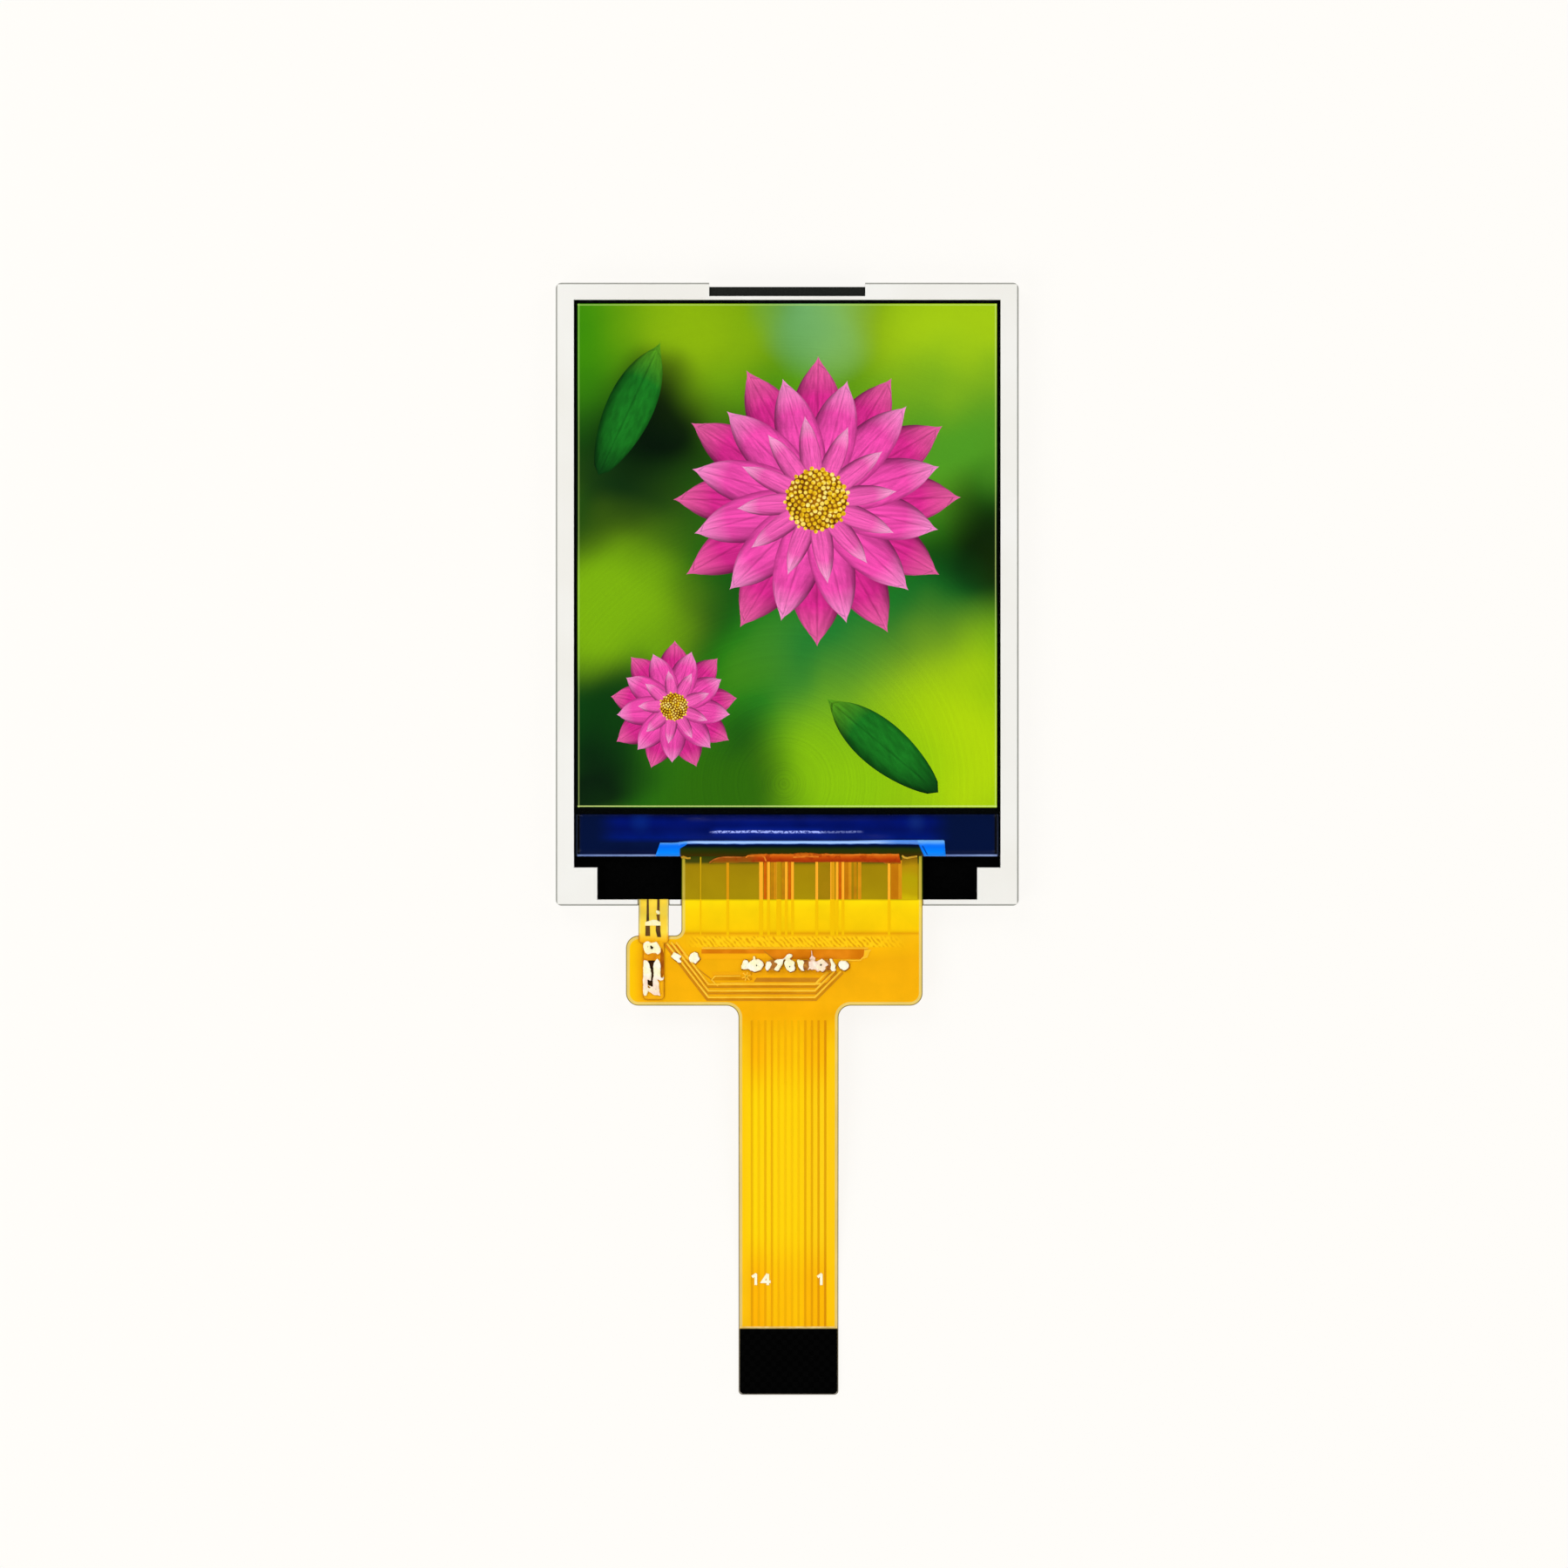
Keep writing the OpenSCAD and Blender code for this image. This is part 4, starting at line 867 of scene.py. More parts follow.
film_rim, tree, shader, spot, tone = amber_film("pale_film_rim", (
    (-18.8, "6A7008"), (-20.0, "B8A630"), (tape_edge_y + 0.02, "C8B044"),
    (tape_edge_y - 0.06, "F4DC52"), (-25.5, "E9CA68"), (-31.0, "E9CA68"),
    (-33.0, "E8C765"), (-54.9, "DFC273"), (-60.15, "B9B2A6")), 0.1)
surface(shader, tone)
# The edge band's darker colour is painted shade.
film_edge_shade, tree, shader, spot, tone = amber_film("painted_film_edge_shade", (
    (-18.8, "3A4404"), (tape_edge_y + 0.02, "5F6410"), (tape_edge_y - 0.06, "B08E1C"),
    (-25.5, "8E7A3A"), (-60.15, "8C8474")), 0.1)
surface(shader, tone)

circuit = cut_out("main_circuit", "amber_circuit", 0.07, 0.2, film_edge_shade, film_rim, film_face)
settle(circuit, None, "amber_film", "main_circuit")


# ---- Lamp circuit -----------------------------------------------------------------------
# The lamps' own strip of thin film, taped behind the glass. Its narrow tongue bends out of
# the frame and lies on the main circuit, where its two brown supply lines are soldered.

lamp_face, tree, shader, spot = begin(
    "thin_amber_polyimide", {"Roughness": 0.36, "IOR": 1.6, "Specular IOR Level": 0.12})
cloud = add(tree, "TexNoise", [spot, 0.9, 3.0])
tone = add(tree, "ValToRGB", [cloud], [(0.3, "FFD638"), (0.7, "FFE04A")])
axes = add(tree, "SeparateXYZ", [spot]).outputs
on_body = add(tree, "MapRange", [axes[1], -25.4, -26.0, 0.0, 1.0])
tone = add(tree, "Mix RGBA", [on_body, tone, "F8B40C"])
surface(shader, tone)
# Its edge gets a band of painted shade with a pale rim inside it. Where it lies on the body, its
# edges are lost in the same amber.
lamp_trims = []
for name, free, bonded in (
        ("thin_film_rim", "F4DA74", "EDA60C"), ("thin_film_edge_shade", "94803C", "B87206")):
    trim, tree, shader, spot = begin(name, {"Roughness": 0.45, "Specular IOR Level": 0.12})
    cloud = add(tree, "TexNoise", [spot, 1.4, 2.0])
    cloud = add(tree, "MapRange", [cloud, 0.3, 0.7, 0.9, 1.05])
    axes = add(tree, "SeparateXYZ", [spot]).outputs
    on_body = add(tree, "MapRange", [axes[1], -25.3, -25.7, 0.0, 1.0])
    tone = add(tree, "Mix RGBA", [on_body, free, bonded])
    tone = add(tree, "VectorMath SCALE", [tone, cloud])
    surface(shader, tone)
    lamp_trims.append(trim)
lamp_rim, lamp_edge_shade = lamp_trims
lamp_film = cut_out("lamp_circuit", "lamp_film", 0.04, 0.1, lamp_edge_shade, lamp_rim, lamp_face)
settle(lamp_film, None, "amber_film", "lamp_circuit")

supply_brown = toned("oxidised_copper_lines", {"Roughness": 0.5, "Specular IOR Level": 0.3}, 1.6,
    3.0, [(0.3, "3A2402"), (0.5, "5A3804"), (0.7, "7A4E08")])


def drape(piece, film, lift):
    """Lays a flat piece, made at level 0, on a film's upper face."""
    for point in piece.data.vertices:
        hit = film.ray_cast(Vector((point.co.x, point.co.y, 1.0)), Vector((0, 0, -1)))
        point.co.z += hit[1].z + lift * MM
    return piece


def laid_strip(name, film, thick, *stations):
    """A thin strip on a film, through stations of place along it, left and right side."""
    bpy.ops.mesh.primitive_grid_add(x_subdivisions=1, y_subdivisions=16, size=1)
    piece = thicken(active(name), thick * MM)
    for point in piece.data.vertices:
        along = (0.5 - point.co.y) * (len(stations) - 1)
        k = min(int(along), len(stations) - 2)
        y, low_x, high_x = (
            a + (b - a) * (along - k) for a, b in zip(stations[k], stations[k + 1]))
        point.co.x = (low_x if point.co.x < 0 else high_x) * MM
        point.co.y = y * MM
    return drape(piece, film, 0.004)


supply_top = frame_low.y + 0.48
lines = [
    laid_strip("line", lamp_film, 0.02, (supply_top, -10.54, -10.4), (-24.62, -10.56, -10.36)),
    laid_strip("line", lamp_film, 0.02, (-24.86, -10.62, -10.3), (-25.62, -10.64, -10.28)),
    laid_strip("line", lamp_film, 0.02, (supply_top, -9.76, -9.58), (-23.76, -9.78, -9.58)),
    laid_strip("line", lamp_film, 0.02, (-24.02, -9.82, -9.56), (-24.62, -9.72, -9.56)),
    laid_strip("line", lamp_film, 0.02, (-24.84, -9.84, -9.52), (-25.2, -9.86, -9.52),
               (-25.7, -9.74, -9.46)),
]
settle(gather("supply_lines", lines), supply_brown, "dark_copper", "supply_tracks")
flash = toned("tinned_line_patches", {"Roughness": 0.4}, 2.4, 2.0, [
    (0.35, "FFF0A0"), (0.65, "FFFBD0")])
patches = [
    laid_strip("patch", lamp_film, 0.03, (-23.72, -9.84, -9.66), (-23.86, -9.86, -9.56),
               (-24.0, -9.7, -9.56)),
    laid_strip("patch", lamp_film, 0.03, (-24.42, -10.1, -9.84), (-24.58, -10.66, -9.5),
               (-24.84, -10.66, -9.5)),
]
settle(gather("supply_patches", patches), flash, "amber_film")


# ---- Copper tracks ----------------------------------------------------------------------
# Rolled copper under the amber cover film: thin lines from the glass, a bundle that skirts
# the capacitors, and the plug's lines down the tail. Where the dark tape lies behind them
# they glow orange; elsewhere they only darken the film.

cover_copper, tree, shader, spot = begin(
    "covered_copper", {"Roughness": 0.34, "Specular IOR Level": 0.12})
axes = add(tree, "SeparateXYZ", [spot]).outputs
across = add(tree, "MapRange", [axes[0], -9.0, 9.0, 0.0, 1.0])
over_tape = add(tree, "ValToRGB", [across], [
    (0.0, "C8A008"), (0.2, "DC960A"), (0.36, "FFAE28"), (0.455, "B98A06"), (0.485, "FFAE28"),
    (0.68, "DC9A10"), (0.7, "FFAE28")])
over_tape.color_ramp.interpolation = "CONSTANT"
over_body = add(tree, "TexNoise", [spot, 0.8, 2.0])
over_body = add(tree, "ValToRGB", [over_body], [(0.35, "CC8100"), (0.65, "DC9206")])
over_plane = add(tree, "TexNoise", [spot, 0.5, 2.0])
over_plane = add(tree, "ValToRGB", [over_plane], [
    (0.35, "D07102"), (0.5, "D87A04"), (0.65, "E98A10")])
tail_tones = [add(tree, "ValToRGB", [across],
    list(zip((0.342, 0.37, 0.4, 0.428, 0.457, 0.55, 0.572, 0.6, 0.66), codes))) for codes in (
    ("DC9602", "F0AC02", "EEA802", "E8A002", "F2B002", "F2B202", "E6A002", "E69E02", "D98E02"),
    ("E0A400", "FACC02", "EEB800", "E6A800", "F7C602", "F7C402", "E6AA00", "E6AA00", "E0A200"))]
down_tail = add(tree, "Mix RGBA", [halfway_down(tree, axes), tail_tones[0], tail_tones[1]])
tone = over_tape
# The plane starts under the seam, and the solder row and bundle lie below the plane.
plane_y, under_plane_y = circuit_high.y - 7.0, row_y + 0.35
for place, other in (
        (tape_edge_y, "F4C000"), (plane_y, over_plane), (under_plane_y, over_body),
        (neck_y, down_tail)):
    part = add(tree, "MapRange", [axes[1], place + 0.02, place - 0.02, 0.0, 1.0])
    tone = add(tree, "Mix RGBA", [part, tone, other])
# Left of a slanting line the plane is only half as deep; under that the film lies bare.
shallow = add(tree, "Math MULTIPLY_ADD", [axes[1], 1.23, 34.64])
shallow = add(tree, "Math ADD", [shallow, axes[0]])
shallow = add(tree, "MapRange", [shallow, -0.03, 0.03, 1.0, 0.0])
shallow = limited(tree, shallow, (axes[1], -26.9, -27.0),
    (axes[1], under_plane_y, under_plane_y + 0.02))
tone = add(tree, "Mix RGBA", [shallow, tone, "F8AE08"])
# The right-hand bars and the upper left one lie deeper under the film and hardly show.
for left, right, low, high in ((-2.6, 3.2, -29.13, -28.32), (-6.0, -2.8, -28.66, -28.32)):
    deep = limited(tree, None, (axes[0], left - 0.05, left), (axes[0], right + 0.05, right),
                   (axes[1], high + 0.02, high), (axes[1], low - 0.02, low))
    tone = add(tree, "Mix RGBA", [deep, tone, "F2A80A"])
grain = add(tree, "TexNoise", [spot, 4.0, 2.0])
surface(shader, tone, grain, 0.1, 0.01)
dress(cover_copper, "copper_tracks")


# ---- Copper fields and bonded seam ------------------------------------------------------
# Wider areas of copper between the lines show over the tape in warmer, browner tones. At
# the glass, squeezed-out bond film has set as a ragged rust-coloured seam.

def plate(name, corners, low, high):
    """A thin flat plate, from the corners of its outline and two levels."""
    bpy.ops.mesh.primitive_circle_add(vertices=len(corners), fill_type="NGON")
    piece = active(name)
    for point, (x, y) in zip(piece.data.vertices, corners):
        point.co = Vector((x, y, low)) * MM
    return thicken(piece, (high - low) * MM)


def mottled(name, dark, light, grain, rough, shine):
    """A dull material that drifts between two near colours, in grains of a size in mm."""
    made, tree, shader, spot = begin(name, {"Roughness": rough, "Specular IOR Level": shine})
    drift = add(tree, "TexNoise", [spot, 1 / grain, 3.0])
    tone = add(tree, "ValToRGB", [drift], [(0.35, dark), (0.65, light)])
    surface(shader, tone, drift, 0.15, 0.02)
    return made


field_foot, field_high, field_end_y = circuit_top - 0.005, circuit_top + 0.012, -19.95
for name, dark, light, spans in (
    ("rust", "C85A02", "D06604", ((-1.76, -1.54), (0.07, 0.28), (3.86, 4.06))),
    ("ochre", "B5780A", "C08406", ((-1.26, -0.98), (-0.42, -0.2), (5.0, 5.22))),
    ("honey", "D08A10", "DA9012", ((-0.98, -0.84), (4.6, 4.82), (5.3, 5.56), (8.34, 8.6))),
    ("amber", "BC7004", "C47A06", ((4.3, 4.6), (7.78, 8.34))),
    ("umber", "9C7A04", "A47E06", ((2.36, 3.2), (4.82, 5.0))),
):
    field_finish = mottled(name + "_covered_copper", dark, light, 0.8, 0.36, 0.1)
    fields = [plate("field", (
        (low, tape_edge_y), (high, tape_edge_y), (high, field_end_y), (low, field_end_y)),
        field_foot, field_high) for low, high in spans]
    settle(gather(name + "_copper_fields", fields), field_finish, "copper")
bare_end = plate("bare_film_end", (
    (8.6, tape_edge_y), (9.78, tape_edge_y), (9.78, -19.78), (9.4, -19.74), (8.9, -19.86),
    (8.6, -19.7)), field_foot, field_high)
moss, tree, shader, spot = begin("bare_mossy_film", {"Roughness": 0.36, "Specular IOR Level": 0.1})
axes = add(tree, "SeparateXYZ", [spot]).outputs
drift = add(tree, "TexNoise", [spot, 0.9, 3.0])
drift = add(tree, "Math MULTIPLY_ADD", [drift, 0.8, axes[1]])
run = add(tree, "MapRange", [drift, -22.5, -19.4, 0.0, 1.0])
tone = add(tree, "ValToRGB", [run], [(0.0, "CDB402"), (0.15, "BBA002"), (0.5, "B49E02"),
    (0.78, "B48C06"), (0.9, "967206"), (1.0, "8A6208")])
surface(shader, tone)
settle(bare_end, moss, "amber_film")

seam_left, seam_right, seam_low, seam_back = -5.9, 8.55, -20.24, -19.46
seam_rise = 0.04
seam_low_corner = Vector((seam_left, seam_low, circuit_top - 0.01))
seam_high_corner = Vector((seam_right, seam_back, circuit_top + seam_rise))


def seam_shape(x, y):
    """The seam's ragged back edge, which droops at its left end, and its straight front."""
    share = (y - seam_low) / (seam_back - seam_low)
    tatter = noise.noise(Vector((x * 1.9, 1.0, 5.0))) + 0.5 * noise.noise(Vector((x * 6, 4, 1)))
    back = seam_back + 0.07 * tatter - 0.2 * step(-2.6 - x, 0.0, 0.6)
    back += 0.08 * math.exp(-((x - 1.4) / 0.8) ** 4)
    back -= (back - seam_low - 0.06) * step(-4.7 - x, 0.0, 1.15) ** 1.6
    front = seam_low + 0.13 * (1 - step(x, 7.2, 7.4)) - 0.05 * step(-3.4 - x, 0.0, 0.5)
    x -= 0.17 * share * step(x, 8.0, seam_right)
    ends = step(x - seam_left, 0.0, 0.3) * step(seam_right - x, 0.0, 0.1)
    top = seam_low_corner.z + 0.01 + seam_rise * ends * step(share, -0.02, 0.12)
    return x, front + (back - front) * share, top


seam = poured("bonded_seam", 260, 8, seam_low_corner, seam_high_corner, seam_shape)
rust, tree, shader, spot = begin("squeezed_out_bond_film", {
    "Roughness": 0.35, "Specular IOR Level": 0.1})
axes = add(tree, "SeparateXYZ", [spot]).outputs
drift = add(tree, "TexNoise", [spot, 1.3, 3.0])
sway = add(tree, "Math MULTIPLY_ADD", [drift, 0.22, axes[1]])
run = add(tree, "MapRange", [sway, seam_low + 0.11, seam_back + 0.11, 0.0, 1.0])
tone = add(tree, "ValToRGB", [run], [(0.0, "A07806"), (0.12, "A06004"), (0.26, "A43204"),
    (0.48, "B23C04"), (0.66, "C64E08"), (0.8, "D4600E"), (0.9, "DA7016"), (1.0, "A8520A")])
thin = add(tree, "ValToRGB", [run], [(0.0, "A07806"), (0.15, "8E6006"), (0.35, "924C0A"),
    (0.7, "984E0E"), (0.85, "7A460A"), (1.0, "3A3A06")])
part = add(tree, "MapRange SMOOTHSTEP", [axes[0], -1.8, -3.2, 0.0, 1.0])
tone = add(tree, "Mix RGBA", [part, tone, thin])
blots = add(tree, "TexNoise", [spot, 2.3, 2.0])
blots = add(tree, "MapRange SMOOTHSTEP", [blots, 0.56, 0.66, 0.0, 0.5])
tone = add(tree, "Mix RGBA", [blots, tone, "962A02"])
surface(shader, tone)
settle(seam, rust, "copper")


def beside(points, near, far):
    """Corners of a strip that follows a bent line, between two distances to its left."""
    points = [Vector(point) for point in points]
    turns = [(b - a).normalized() for a, b in zip(points, points[1:])]
    sides = []
    for k in range(len(points)):
        first, second = turns[max(k - 1, 0)], turns[min(k, len(turns) - 1)]
        left = Vector((-first.y, first.x)) + Vector((-second.y, second.x))
        sides.append(left / (1 + first.dot(second)))
    right_side = [point + side * near for point, side in zip(points, sides)]
    left_side = [point + side * far for point, side in zip(points, sides)]
    return [tuple(point) for point in right_side + left_side[::-1]]


# Threads of bright squeezed film stand on the seam, and curled scratches lie at its ends.
for name, dark, light, width, lines in (
    ("seam_faint_thread", "A05014", "BE6A26", 0.05, (
        ((-5.84, -20.14), (-5.5, -19.9), (-5.15, -19.77), (-4.8, -19.72), (-3.4, -19.72)),)),
    ("seam_bright_thread", "CC620E", "E88628", 0.05, (
        ((-3.12, -19.74), (-2.95, -19.62), (-1.9, -19.6), (-1.7, -19.72), (-1.58, -20.02)),
        ((0.45, -19.72), (1.5, -19.66), (2.36, -19.68)),
        ((2.6, -19.56), (3.1, -19.52), (3.9, -19.55)),
        ((4.3, -19.55), (5.6, -19.52), (8.3, -19.52)))),
    ("scratched_film_curls", "B98A22", "D8AC3A", 0.07, (
        ((-7.95, -19.74), (-7.78, -19.68), (-7.5, -19.8), (-7.24, -19.78)),
        ((8.6, -19.6), (8.78, -19.74), (9.0, -19.78), (9.4, -19.7), (9.75, -19.66)))),
):
    threads = [plate("thread", beside(line, -width, width), circuit_top + 0.02,
                     circuit_top + 0.05) for line in lines]
    thread_finish = mottled(name + "_film", dark, light, 0.5, 0.3, 0.15)
    settle(gather(name, threads), thread_finish, "copper")


# ---- Raised lines and folds -------------------------------------------------------------
# The cover film is drawn tight over the copper, so a low ridge runs beside each line
# of the bundle and bars, its brightness a painted highlight. Thin plates of painted shade lie
# at the ridges' feet, in a band between the bars and along two more lines. One crossing of
# lines stands up as a knot.

def soften(piece, width):
    """Rounds a thin piece's edges."""
    bpy.ops.object.select_all(action="DESELECT")
    piece.select_set(True)
    bpy.context.view_layer.objects.active = piece
    edge = piece.modifiers.new("edge", "BEVEL")
    edge.width = width * MM
    edge.segments = 2
    bpy.ops.object.modifier_apply(modifier="edge")
    bpy.ops.object.shade_smooth_by_angle(angle=math.radians(40))
    return piece


track_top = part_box("capacitor_1")[0].z / MM
bundle_low, bundle_pitch, bundle_lean = -30.36, 0.49, 0.77
# The ridges' bright colour is a painted highlight, and the feet's darker colour is painted shade.
ridge_highlight = mottled("highlit_cover_film", "FBBE1A", "FFCC2C", 1.2, 0.3, 0.4)
foot_shade = mottled("shaded_cover_film", "C27A04", "D08A08", 1.2, 0.4, 0.3)
ridges, feet = [], []


def add_ridge(corners, rise, brim=0.02):
    """Adds a rounded ridge of drawn film, to a rise over the tracks."""
    ridges.append(soften(plate("ridge", corners, track_top - 0.01, track_top + rise), brim))


def add_foot(corners, rise):
    """Adds a thin plate of painted shade, as at a ridge's foot."""
    feet.append(plate("foot", corners, track_top - 0.015, track_top + rise))


for k in range(3):
    level = bundle_low + bundle_pitch * k
    shift = bundle_lean * bundle_pitch * k
    line = ((-9.2 + shift, -26.17), (-5.97, level), (2.135, level),
            (2.135 + (-28.36 - level), -28.36))
    add_ridge(beside(line, 0.07, 0.21), 0.035)
    add_foot(beside(line, -0.13, -0.04), 0.004)
# The bars' own ridges: a pointed one at the left, and a long straight one under both.
for line, width in ((((-5.16, -29.34), (-5.6, -28.92), (-5.4, -28.68), (-3.5, -28.66)), 0.09),
                    (((-5.0, -29.28), (2.6, -29.28)), 0.14)):
    add_ridge(beside(line, 0.0, width), 0.03)
add_foot(((-2.3, -28.76), (2.5, -28.76), (2.3, -29.06), (-2.5, -29.06)), 0.002)
for line in (((-9.2, -25.98), (-7.9, -27.13), (-5.74, -28.84), (-5.3, -29.34)),
             ((-1.75, -26.74), (-0.9, -27.44))):
    add_foot(beside(line, -0.035, 0.035), 0.006)
for turn in (20, 75, 130):
    arm = Vector((math.cos(math.radians(turn)), math.sin(math.radians(turn)))) * 0.36
    middle = Vector((-3.06, -28.66))
    add_ridge(beside((middle - arm, middle + arm), -0.05, 0.05), 0.045)
add_ridge(beside(((-6.4, -26.58), (6.05, -26.58)), 0.0, 0.1), 0.03)
add_ridge(beside(((4.0, -27.38), (5.45, -27.38), (6.2, -26.62)), -0.12, -0.02), 0.03)
add_ridge(((5.78, -26.67), (6.28, -26.63), (6.0, -27.22), (5.7, -27.36)), 0.035, 0.03)
settle(gather("film_ridges", ridges), ridge_highlight, "amber_film")
settle(gather("ridge_foot_shade", feet), foot_shade, "amber_film")


# ---- Capacitors -------------------------------------------------------------------------
# Three chip capacitors of fired brown ceramic, soldered down by their plated ends.

ceramic = toned("fired_brown_ceramic", {"Roughness": 0.45, "Specular IOR Level": 0.4}, 3.0, 5.0, [
    (0.3, "7A3C08"), (0.5, "A86418"), (0.7, "D29236")])
dress(ceramic, "capacitor_1", "capacitor_2", "capacitor_3")


# ---- Solder -----------------------------------------------------------------------------
# Lead-free solder, melted on by iron, so every joint froze with its own lumps and peaks.
# It is bright, and fogged cream by dried flux, which stays as brown crumbs at its foot.

melt_grain, lump_h = 0.03, 0.035


def pools(foot, rise, brim, outlines):
    """Frozen pools of solder, blunt on top, with a rounded brim of a width in mm."""
    return [soften(plate("pool", corners, foot - 0.015, foot + rise), brim)
            for corners in outlines]


def melted(name, parts):
    """Pools that have run together into one closed, slightly lumpy skin."""
    piece = gather(name, parts)
    melt = piece.modifiers.new("melt", "REMESH")
    melt.mode = "VOXEL"
    melt.voxel_size = melt_grain * MM
    bpy.ops.object.modifier_apply(modifier="melt")
    relax = piece.modifiers.new("relax", "SMOOTH")
    relax.iterations = 3
    bpy.ops.object.modifier_apply(modifier="relax")
    outward = [point.normal.copy() for point in piece.data.vertices]
    for point, normal in zip(piece.data.vertices, outward):
        if normal.z > -0.2:
            place = point.co / MM
            swell = noise.noise(place * 4.5) + 0.5 * noise.noise(place * 11)
            point.co += normal * swell * lump_h * MM
    bpy.ops.object.shade_smooth_by_angle(angle=math.radians(60))
    return piece


def solder_tones(name, foot, high, axis, middle, reach):
    """Fogged solder, browner towards its foot, that blushes round one place on an axis."""
    made, tree, shader, spot = begin(name, {
        "Metallic": 0.0, "Roughness": 0.3, "Specular IOR Level": 0.45})
    axes = add(tree, "SeparateXYZ", [spot]).outputs
    fog = add(tree, "TexNoise", [spot, 1.1, 3.0])
    tone = add(tree, "ValToRGB", [fog], [(0.4, "FFFAC6"), (0.55, "FFFDE6")])
    streak = add(tree, "Mapping", {"Vector": spot, "Rotation": (0, 0, math.radians(-50)),
        "Scale": (1.0, 0.4, 1.0)}, vector_type="TEXTURE")
    streak = add(tree, "TexNoise", [streak, 1.2, 2.0])
    off = add(tree, "Math SUBTRACT", [axes[axis], middle])
    off = add(tree, "Math ABSOLUTE", [off])
    off = add(tree, "MapRange", [off, reach, reach * 0.6, 0.1, 1.0])
    pink = add(tree, "MapRange", [streak, 0.4, 0.6, 0.3, 1.0])
    pink = add(tree, "Math MULTIPLY", [pink, off])
    tone = add(tree, "Mix RGBA", [pink, tone, "FADCC8"])
    crumbs = add(tree, "TexNoise", [spot, 3.2, 2.0])
    rise = add(tree, "MapRange", [axes[2], foot, high, 0.24, -0.12])
    crumbs = add(tree, "Math ADD", [crumbs, rise])
    crumbs = add(tree, "MapRange", [crumbs, 0.6, 0.68, 0.0, 0.9])
    tone = add(tree, "Mix RGBA", [crumbs, tone, "9A5E1C"])
    surface(shader, tone, fog, 0.3, 0.05)
    return made


def on_row(outlines):
    """Outlines, given from the middle of the capacitors' row, in their place."""
    return [[(x, row_y + y) for x, y in corners] for corners in outlines]


row_solder = solder_tones("fluxed_solder", track_top, track_top + 0.14, 0, 2.3, 1.1)
pool_h, piled_h, splash_h, pool_brim, piled_brim = 0.28, 0.45, 0.14, 0.12, 0.08
low_pools = on_row((
    ((-2.92, 0.13), (-2.62, 0.4), (-2.13, 0.46), (-1.79, 0.21), (-1.75, -0.04), (-2.04, -0.41),
     (-2.42, -0.52), (-2.75, -0.41), (-2.96, -0.27)),
    ((-3.44, -0.08), (-3.29, 0.34), (-3.08, 0.42), (-2.9, 0.25), (-2.86, -0.29), (-3.41, -0.33)),
    ((3.78, 0.06), (3.96, 0.32), (4.4, 0.32), (4.64, 0.06), (4.64, -0.2), (4.32, -0.43),
     (3.94, -0.26))))
piled_pools = on_row((
    ((-1.58, 0.24), (-1.29, 0.26), (-1.12, 0.11), (-1.29, -0.23), (-1.49, -0.45), (-1.63, -0.31)),
    ((-1.03, 0.24), (-0.8, 0.42), (-0.25, 0.45), (-0.35, 0.08), (-0.56, -0.31), (-0.64, -0.45),
     (-1.03, -0.36), (-0.7, 0.08)),
    ((-0.22, 0.21), (-0.09, 0.39), (0.27, 0.42), (0.58, 0.19), (0.54, -0.02), (0.61, -0.31),
     (0.48, -0.44), (0.22, -0.52), (-0.04, -0.34), (-0.17, -0.07)),
    ((0.7, 0.32), (0.82, 0.45), (1.0, 0.34), (1.15, 0.39), (1.31, 0.26), (1.18, -0.02),
     (1.22, -0.28), (1.31, -0.43), (1.05, -0.41), (0.87, -0.18), (0.79, 0.08)),
    ((1.58, 0.27), (2.0, 0.34), (2.2, 0.28), (2.22, -0.02), (2.2, -0.38), (2.02, -0.3),
     (1.82, -0.36), (1.72, -0.28), (1.5, -0.42), (1.66, -0.1)),
    ((2.14, 0.26), (2.4, 0.34), (2.58, 0.5), (2.77, 0.37), (2.92, 0.19), (3.16, 0.0),
     (2.87, -0.1), (2.86, -0.34), (2.64, -0.52), (2.45, -0.4), (2.22, -0.49), (2.16, -0.07)),
    ((3.13, 0.45), (3.36, 0.49), (3.47, 0.19), (3.65, -0.02), (3.57, -0.23), (3.65, -0.44),
     (3.41, -0.48), (3.23, -0.31), (3.3, 0.08))))
splashes = on_row((
    ((-0.34, 0.4), (-0.02, 0.78), (0.19, 0.86), (0.4, 0.76), (0.37, 0.6), (0.12, 0.4)),
    ((1.67, 0.5), (1.8, 0.63), (1.81, 1.17), (1.93, 0.68), (2.12, 0.52), (2.04, 0.26),
     (1.75, 0.26)),
    ((-2.56, 0.4), (-2.56, 0.66), (-2.4, 0.66), (-2.36, 0.4))))
row = pools(track_top, pool_h, pool_brim, low_pools)
row += pools(track_top, piled_h, piled_brim, piled_pools)
row += pools(track_top, splash_h, 0.04, splashes)
settle(melted("capacitor_solder", row), row_solder, "solder", "capacitor_ends", "solder_domes")
pad_pools = (
    ((-8.48, -26.82), (-7.9, -27.15), (-8.1, -27.28), (-7.9, -27.57), (-8.05, -27.68),
     (-8.3, -27.52), (-8.73, -27.17)),
    ((-7.38, -27.28), (-7.22, -26.94), (-6.92, -26.82), (-6.72, -26.9), (-6.7, -27.06),
     (-6.53, -27.34), (-6.88, -27.72), (-7.02, -27.62), (-7.3, -27.56)))
settle(melted("pad_solder", pools(track_top, 0.17, 0.06, pad_pools)), row_solder, "solder")

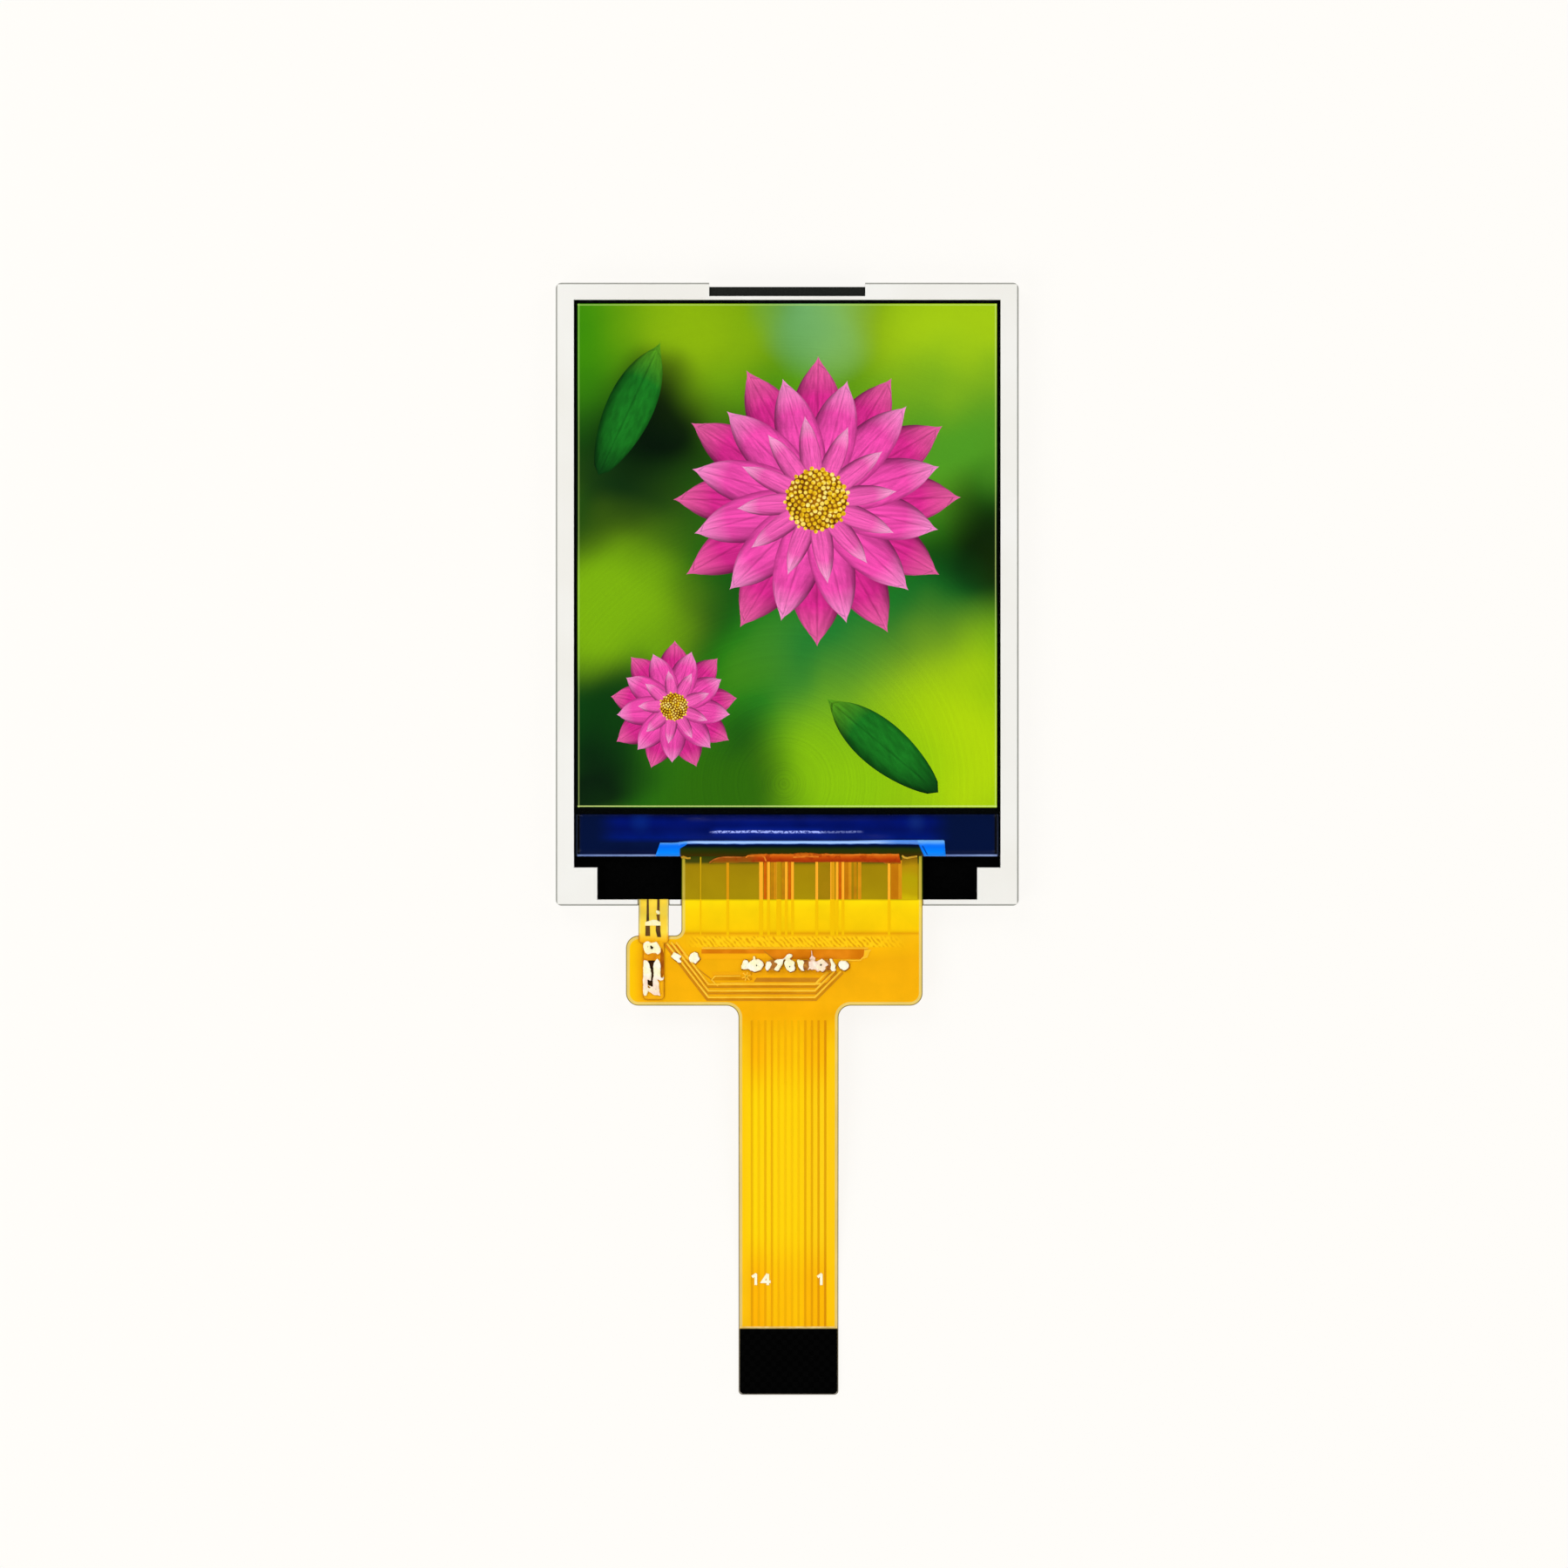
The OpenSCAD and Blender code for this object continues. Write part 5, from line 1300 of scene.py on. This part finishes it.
joint_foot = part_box("supply_joints")[0].z / MM
joint_solder = solder_tones("fluxed_joint_solder", joint_foot, joint_foot + 0.1, 1, -29.7, 1.2)
round_joint = ((-10.81, -26.46), (-10.75, -26.19), (-10.59, -26.02), (-10.38, -26.02),
               (-10.23, -26.16), (-10.02, -26.13), (-9.81, -26.04), (-9.63, -26.28),
               (-9.51, -26.55), (-9.47, -26.79), (-9.6, -26.96), (-9.75, -27.01),
               (-9.87, -26.87), (-10.26, -26.92), (-10.44, -27.02), (-10.65, -26.87))
left_run = ((-10.74, -27.43), (-10.5, -27.46), (-10.38, -27.62), (-10.23, -28.1), (-10.18, -28.55),
            (-10.22, -29.0), (-10.47, -28.86), (-10.46, -29.3), (-10.47, -29.84), (-10.5, -30.05),
            (-10.68, -30.13), (-10.8, -29.99), (-10.8, -29.45), (-10.8, -28.7), (-10.79, -27.65))
right_run = ((-9.74, -27.32), (-9.59, -27.49), (-9.5, -27.65), (-9.51, -28.4), (-9.47, -28.73),
             (-9.32, -28.78), (-9.24, -28.66), (-9.3, -28.9), (-9.51, -28.98), (-9.8, -28.82),
             (-9.62, -29.1), (-9.6, -29.75), (-9.51, -30.08), (-9.99, -30.04), (-10.2, -29.89),
             (-10.44, -29.75), (-10.44, -29.5), (-10.2, -29.6), (-10.44, -29.3), (-10.08, -29.42),
             (-10.08, -29.0), (-10.02, -28.55), (-10.02, -27.65))
joints = pools(joint_foot, 0.24, 0.06, [round_joint])
joints += pools(joint_foot, 0.18, 0.04, [left_run])
joints += pools(joint_foot, 0.16, 0.03, [right_run])
settle(melted("supply_solder", joints), joint_solder, "solder", "supply_joints")

# Dark marks lie in the round joint's pit, in the gap between the runs and on three of the pools.
film_foot = joint_foot - 0.01
dark_mark_tone = mottled("dark_solder_mark_finish", "1E0C02", "422408", 0.3, 0.5, 0.05)
pit = plate("pit", ((-10.27, -26.36), (-10.2, -26.34), (-10.03, -26.48), (-10.1, -26.6),
                    (-10.24, -26.57)), joint_foot + 0.2, joint_foot + 0.28)
slit = plate("slit", ((-10.42, -27.46), (-9.92, -27.46), (-9.98, -29.1), (-10.25, -29.1)),
             film_foot, joint_foot + 0.05)
crack = plate("crack", ((-10.5, -28.86), (-10.14, -29.0), (-10.04, -29.46), (-10.5, -29.2)),
              film_foot, joint_foot + 0.04)
pits = [plate("pit", [(x + across * size, row_y + y + up * size) for across, up in (
    (-0.7, -1.0), (0.5, -1.2), (1.1, -0.1), (0.4, 1.0), (-0.6, 0.7))],
    track_top + high - 0.1, track_top + high + 0.03) for x, y, size, high in (
        (-2.3, -0.02, 0.05, pool_h), (2.52, 0.03, 0.07, piled_h), (0.18, -0.1, 0.045, piled_h))]
settle(gather("dark_solder_marks", [pit, slit, crack] + pits), dark_mark_tone, "dark_copper")
# Each pool has a painted shadow: a brown ring just past its edge, shifted down and to the right.
solder_shadow_w, solder_shadow_t, solder_shadow_shift = 0.05, 0.008, Vector((0.025, -0.025))
solder_shadows = []
for corners in low_pools + piled_pools + list(pad_pools):
    middle = sum((Vector(corner) for corner in corners), Vector((0, 0))) / len(corners)
    ring = []
    for corner in corners:
        arm = Vector(corner) - middle
        ring.append(tuple(middle + arm * (1 + solder_shadow_w / arm.length) + solder_shadow_shift))
    solder_shadows.append(plate("halo", ring, track_top - 0.012, track_top + solder_shadow_t))
solder_shadow_tone = mottled("painted_solder_shadow", "8A4A04", "B46A06", 0.4, 0.5, 0.1)
settle(gather("painted_solder_shadows", solder_shadows), solder_shadow_tone, "dark_copper")
# A painted shadow lies on the film right of the runs, and a darker amber collar lies between the
# round joint and the runs.
shaded = plate("shade", ((-9.52, -26.98), (-9.4, -26.5), (-9.27, -26.9), (-9.25, -28.5),
                         (-9.44, -28.8), (-9.5, -28.0)), film_foot, joint_foot + 0.01)
collar = plate("collar", ((-10.76, -26.9), (-9.52, -26.9), (-9.5, -27.5), (-10.8, -27.5)),
               film_foot, joint_foot + 0.01)
settle(shaded, mottled("painted_shadow_by_runs", "A04C02", "C47206", 0.8, 0.4, 0.1), "amber_film")
settle(collar, mottled("darker_amber_collar", "DA8410", "F2A612", 0.5, 0.35, 0.1), "amber_film")


# ---- Stiffener and contacts -------------------------------------------------------------
# A black plate of glass-filled epoxy is glued to the tail's end, so that it can be pushed
# into a connector. Below it the copper is bare and gold-plated.

stiff, tree, shader, spot = begin("black_glass_epoxy", {
    "Roughness": 0.6, "Specular IOR Level": 0.015})
cloth = add(tree, "TexChecker", {"Vector": spot, "Scale": 2.5, "Color1": "000000",
    "Color2": "020202"})
surface(shader, cloth)
dress(stiff, "tail_stiffener")

stiff_low, stiff_high = (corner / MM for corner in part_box("tail_stiffener"))
squeezed = mottled("squeezed_out_epoxy", "F0C860", "FFE596", 0.5, 0.35, 0.3)
fillet = soften(plate("stiffener_glue", (
    (stiff_low.x, stiff_high.y - 0.01), (stiff_high.x, stiff_high.y - 0.01),
    (stiff_high.x, stiff_high.y + 0.17), (stiff_low.x, stiff_high.y + 0.17)),
    stiff_low.z - 0.01, stiff_low.z + 0.05), 0.03)
settle(fillet, squeezed, "amber_film")

gold = toned("hard_gold_plating", {"Metallic": 1.0, "Roughness": 0.28}, 1.2, 3.0, [
    (0.3, "D9A441"), (0.7, "F2CB6B")], (14.0, 0.7, 1.0))
dress(gold, "contact_fingers")


# ---- Contact numbers --------------------------------------------------------------------
# The first and last contacts are numbered in cream ink, screen-printed on the cover film.

ink = mottled("cream_screen_ink", "FFF6C8", "FFFBE0", 0.4, 0.5, 0.2)
ink_t, digit_h, digit_w, digit_y, stroke = 0.012, 0.84, 0.56, -51.9, 0.1
one = (((-0.5, 0.72), (0.1, 1.0)), ((0.0, 1.0), (0.0, 0.0)))
four = (((0.2, 1.0), (-0.5, 0.3), (0.6, 0.3)), ((0.22, 1.0), (0.22, 0.0)))
digits = []
for strokes, x in ((one, -2.36), (four, -1.58), (one, 2.56)):
    for line in strokes:
        line = [(x + across * digit_w, digit_y + up * digit_h) for across, up in line]
        mark = plate("stroke", beside(line, -stroke, stroke), 0.0, ink_t)
        digits.append(drape(mark, circuit, 0.025))
settle(gather("contact_numbers", digits), ink, "solder")
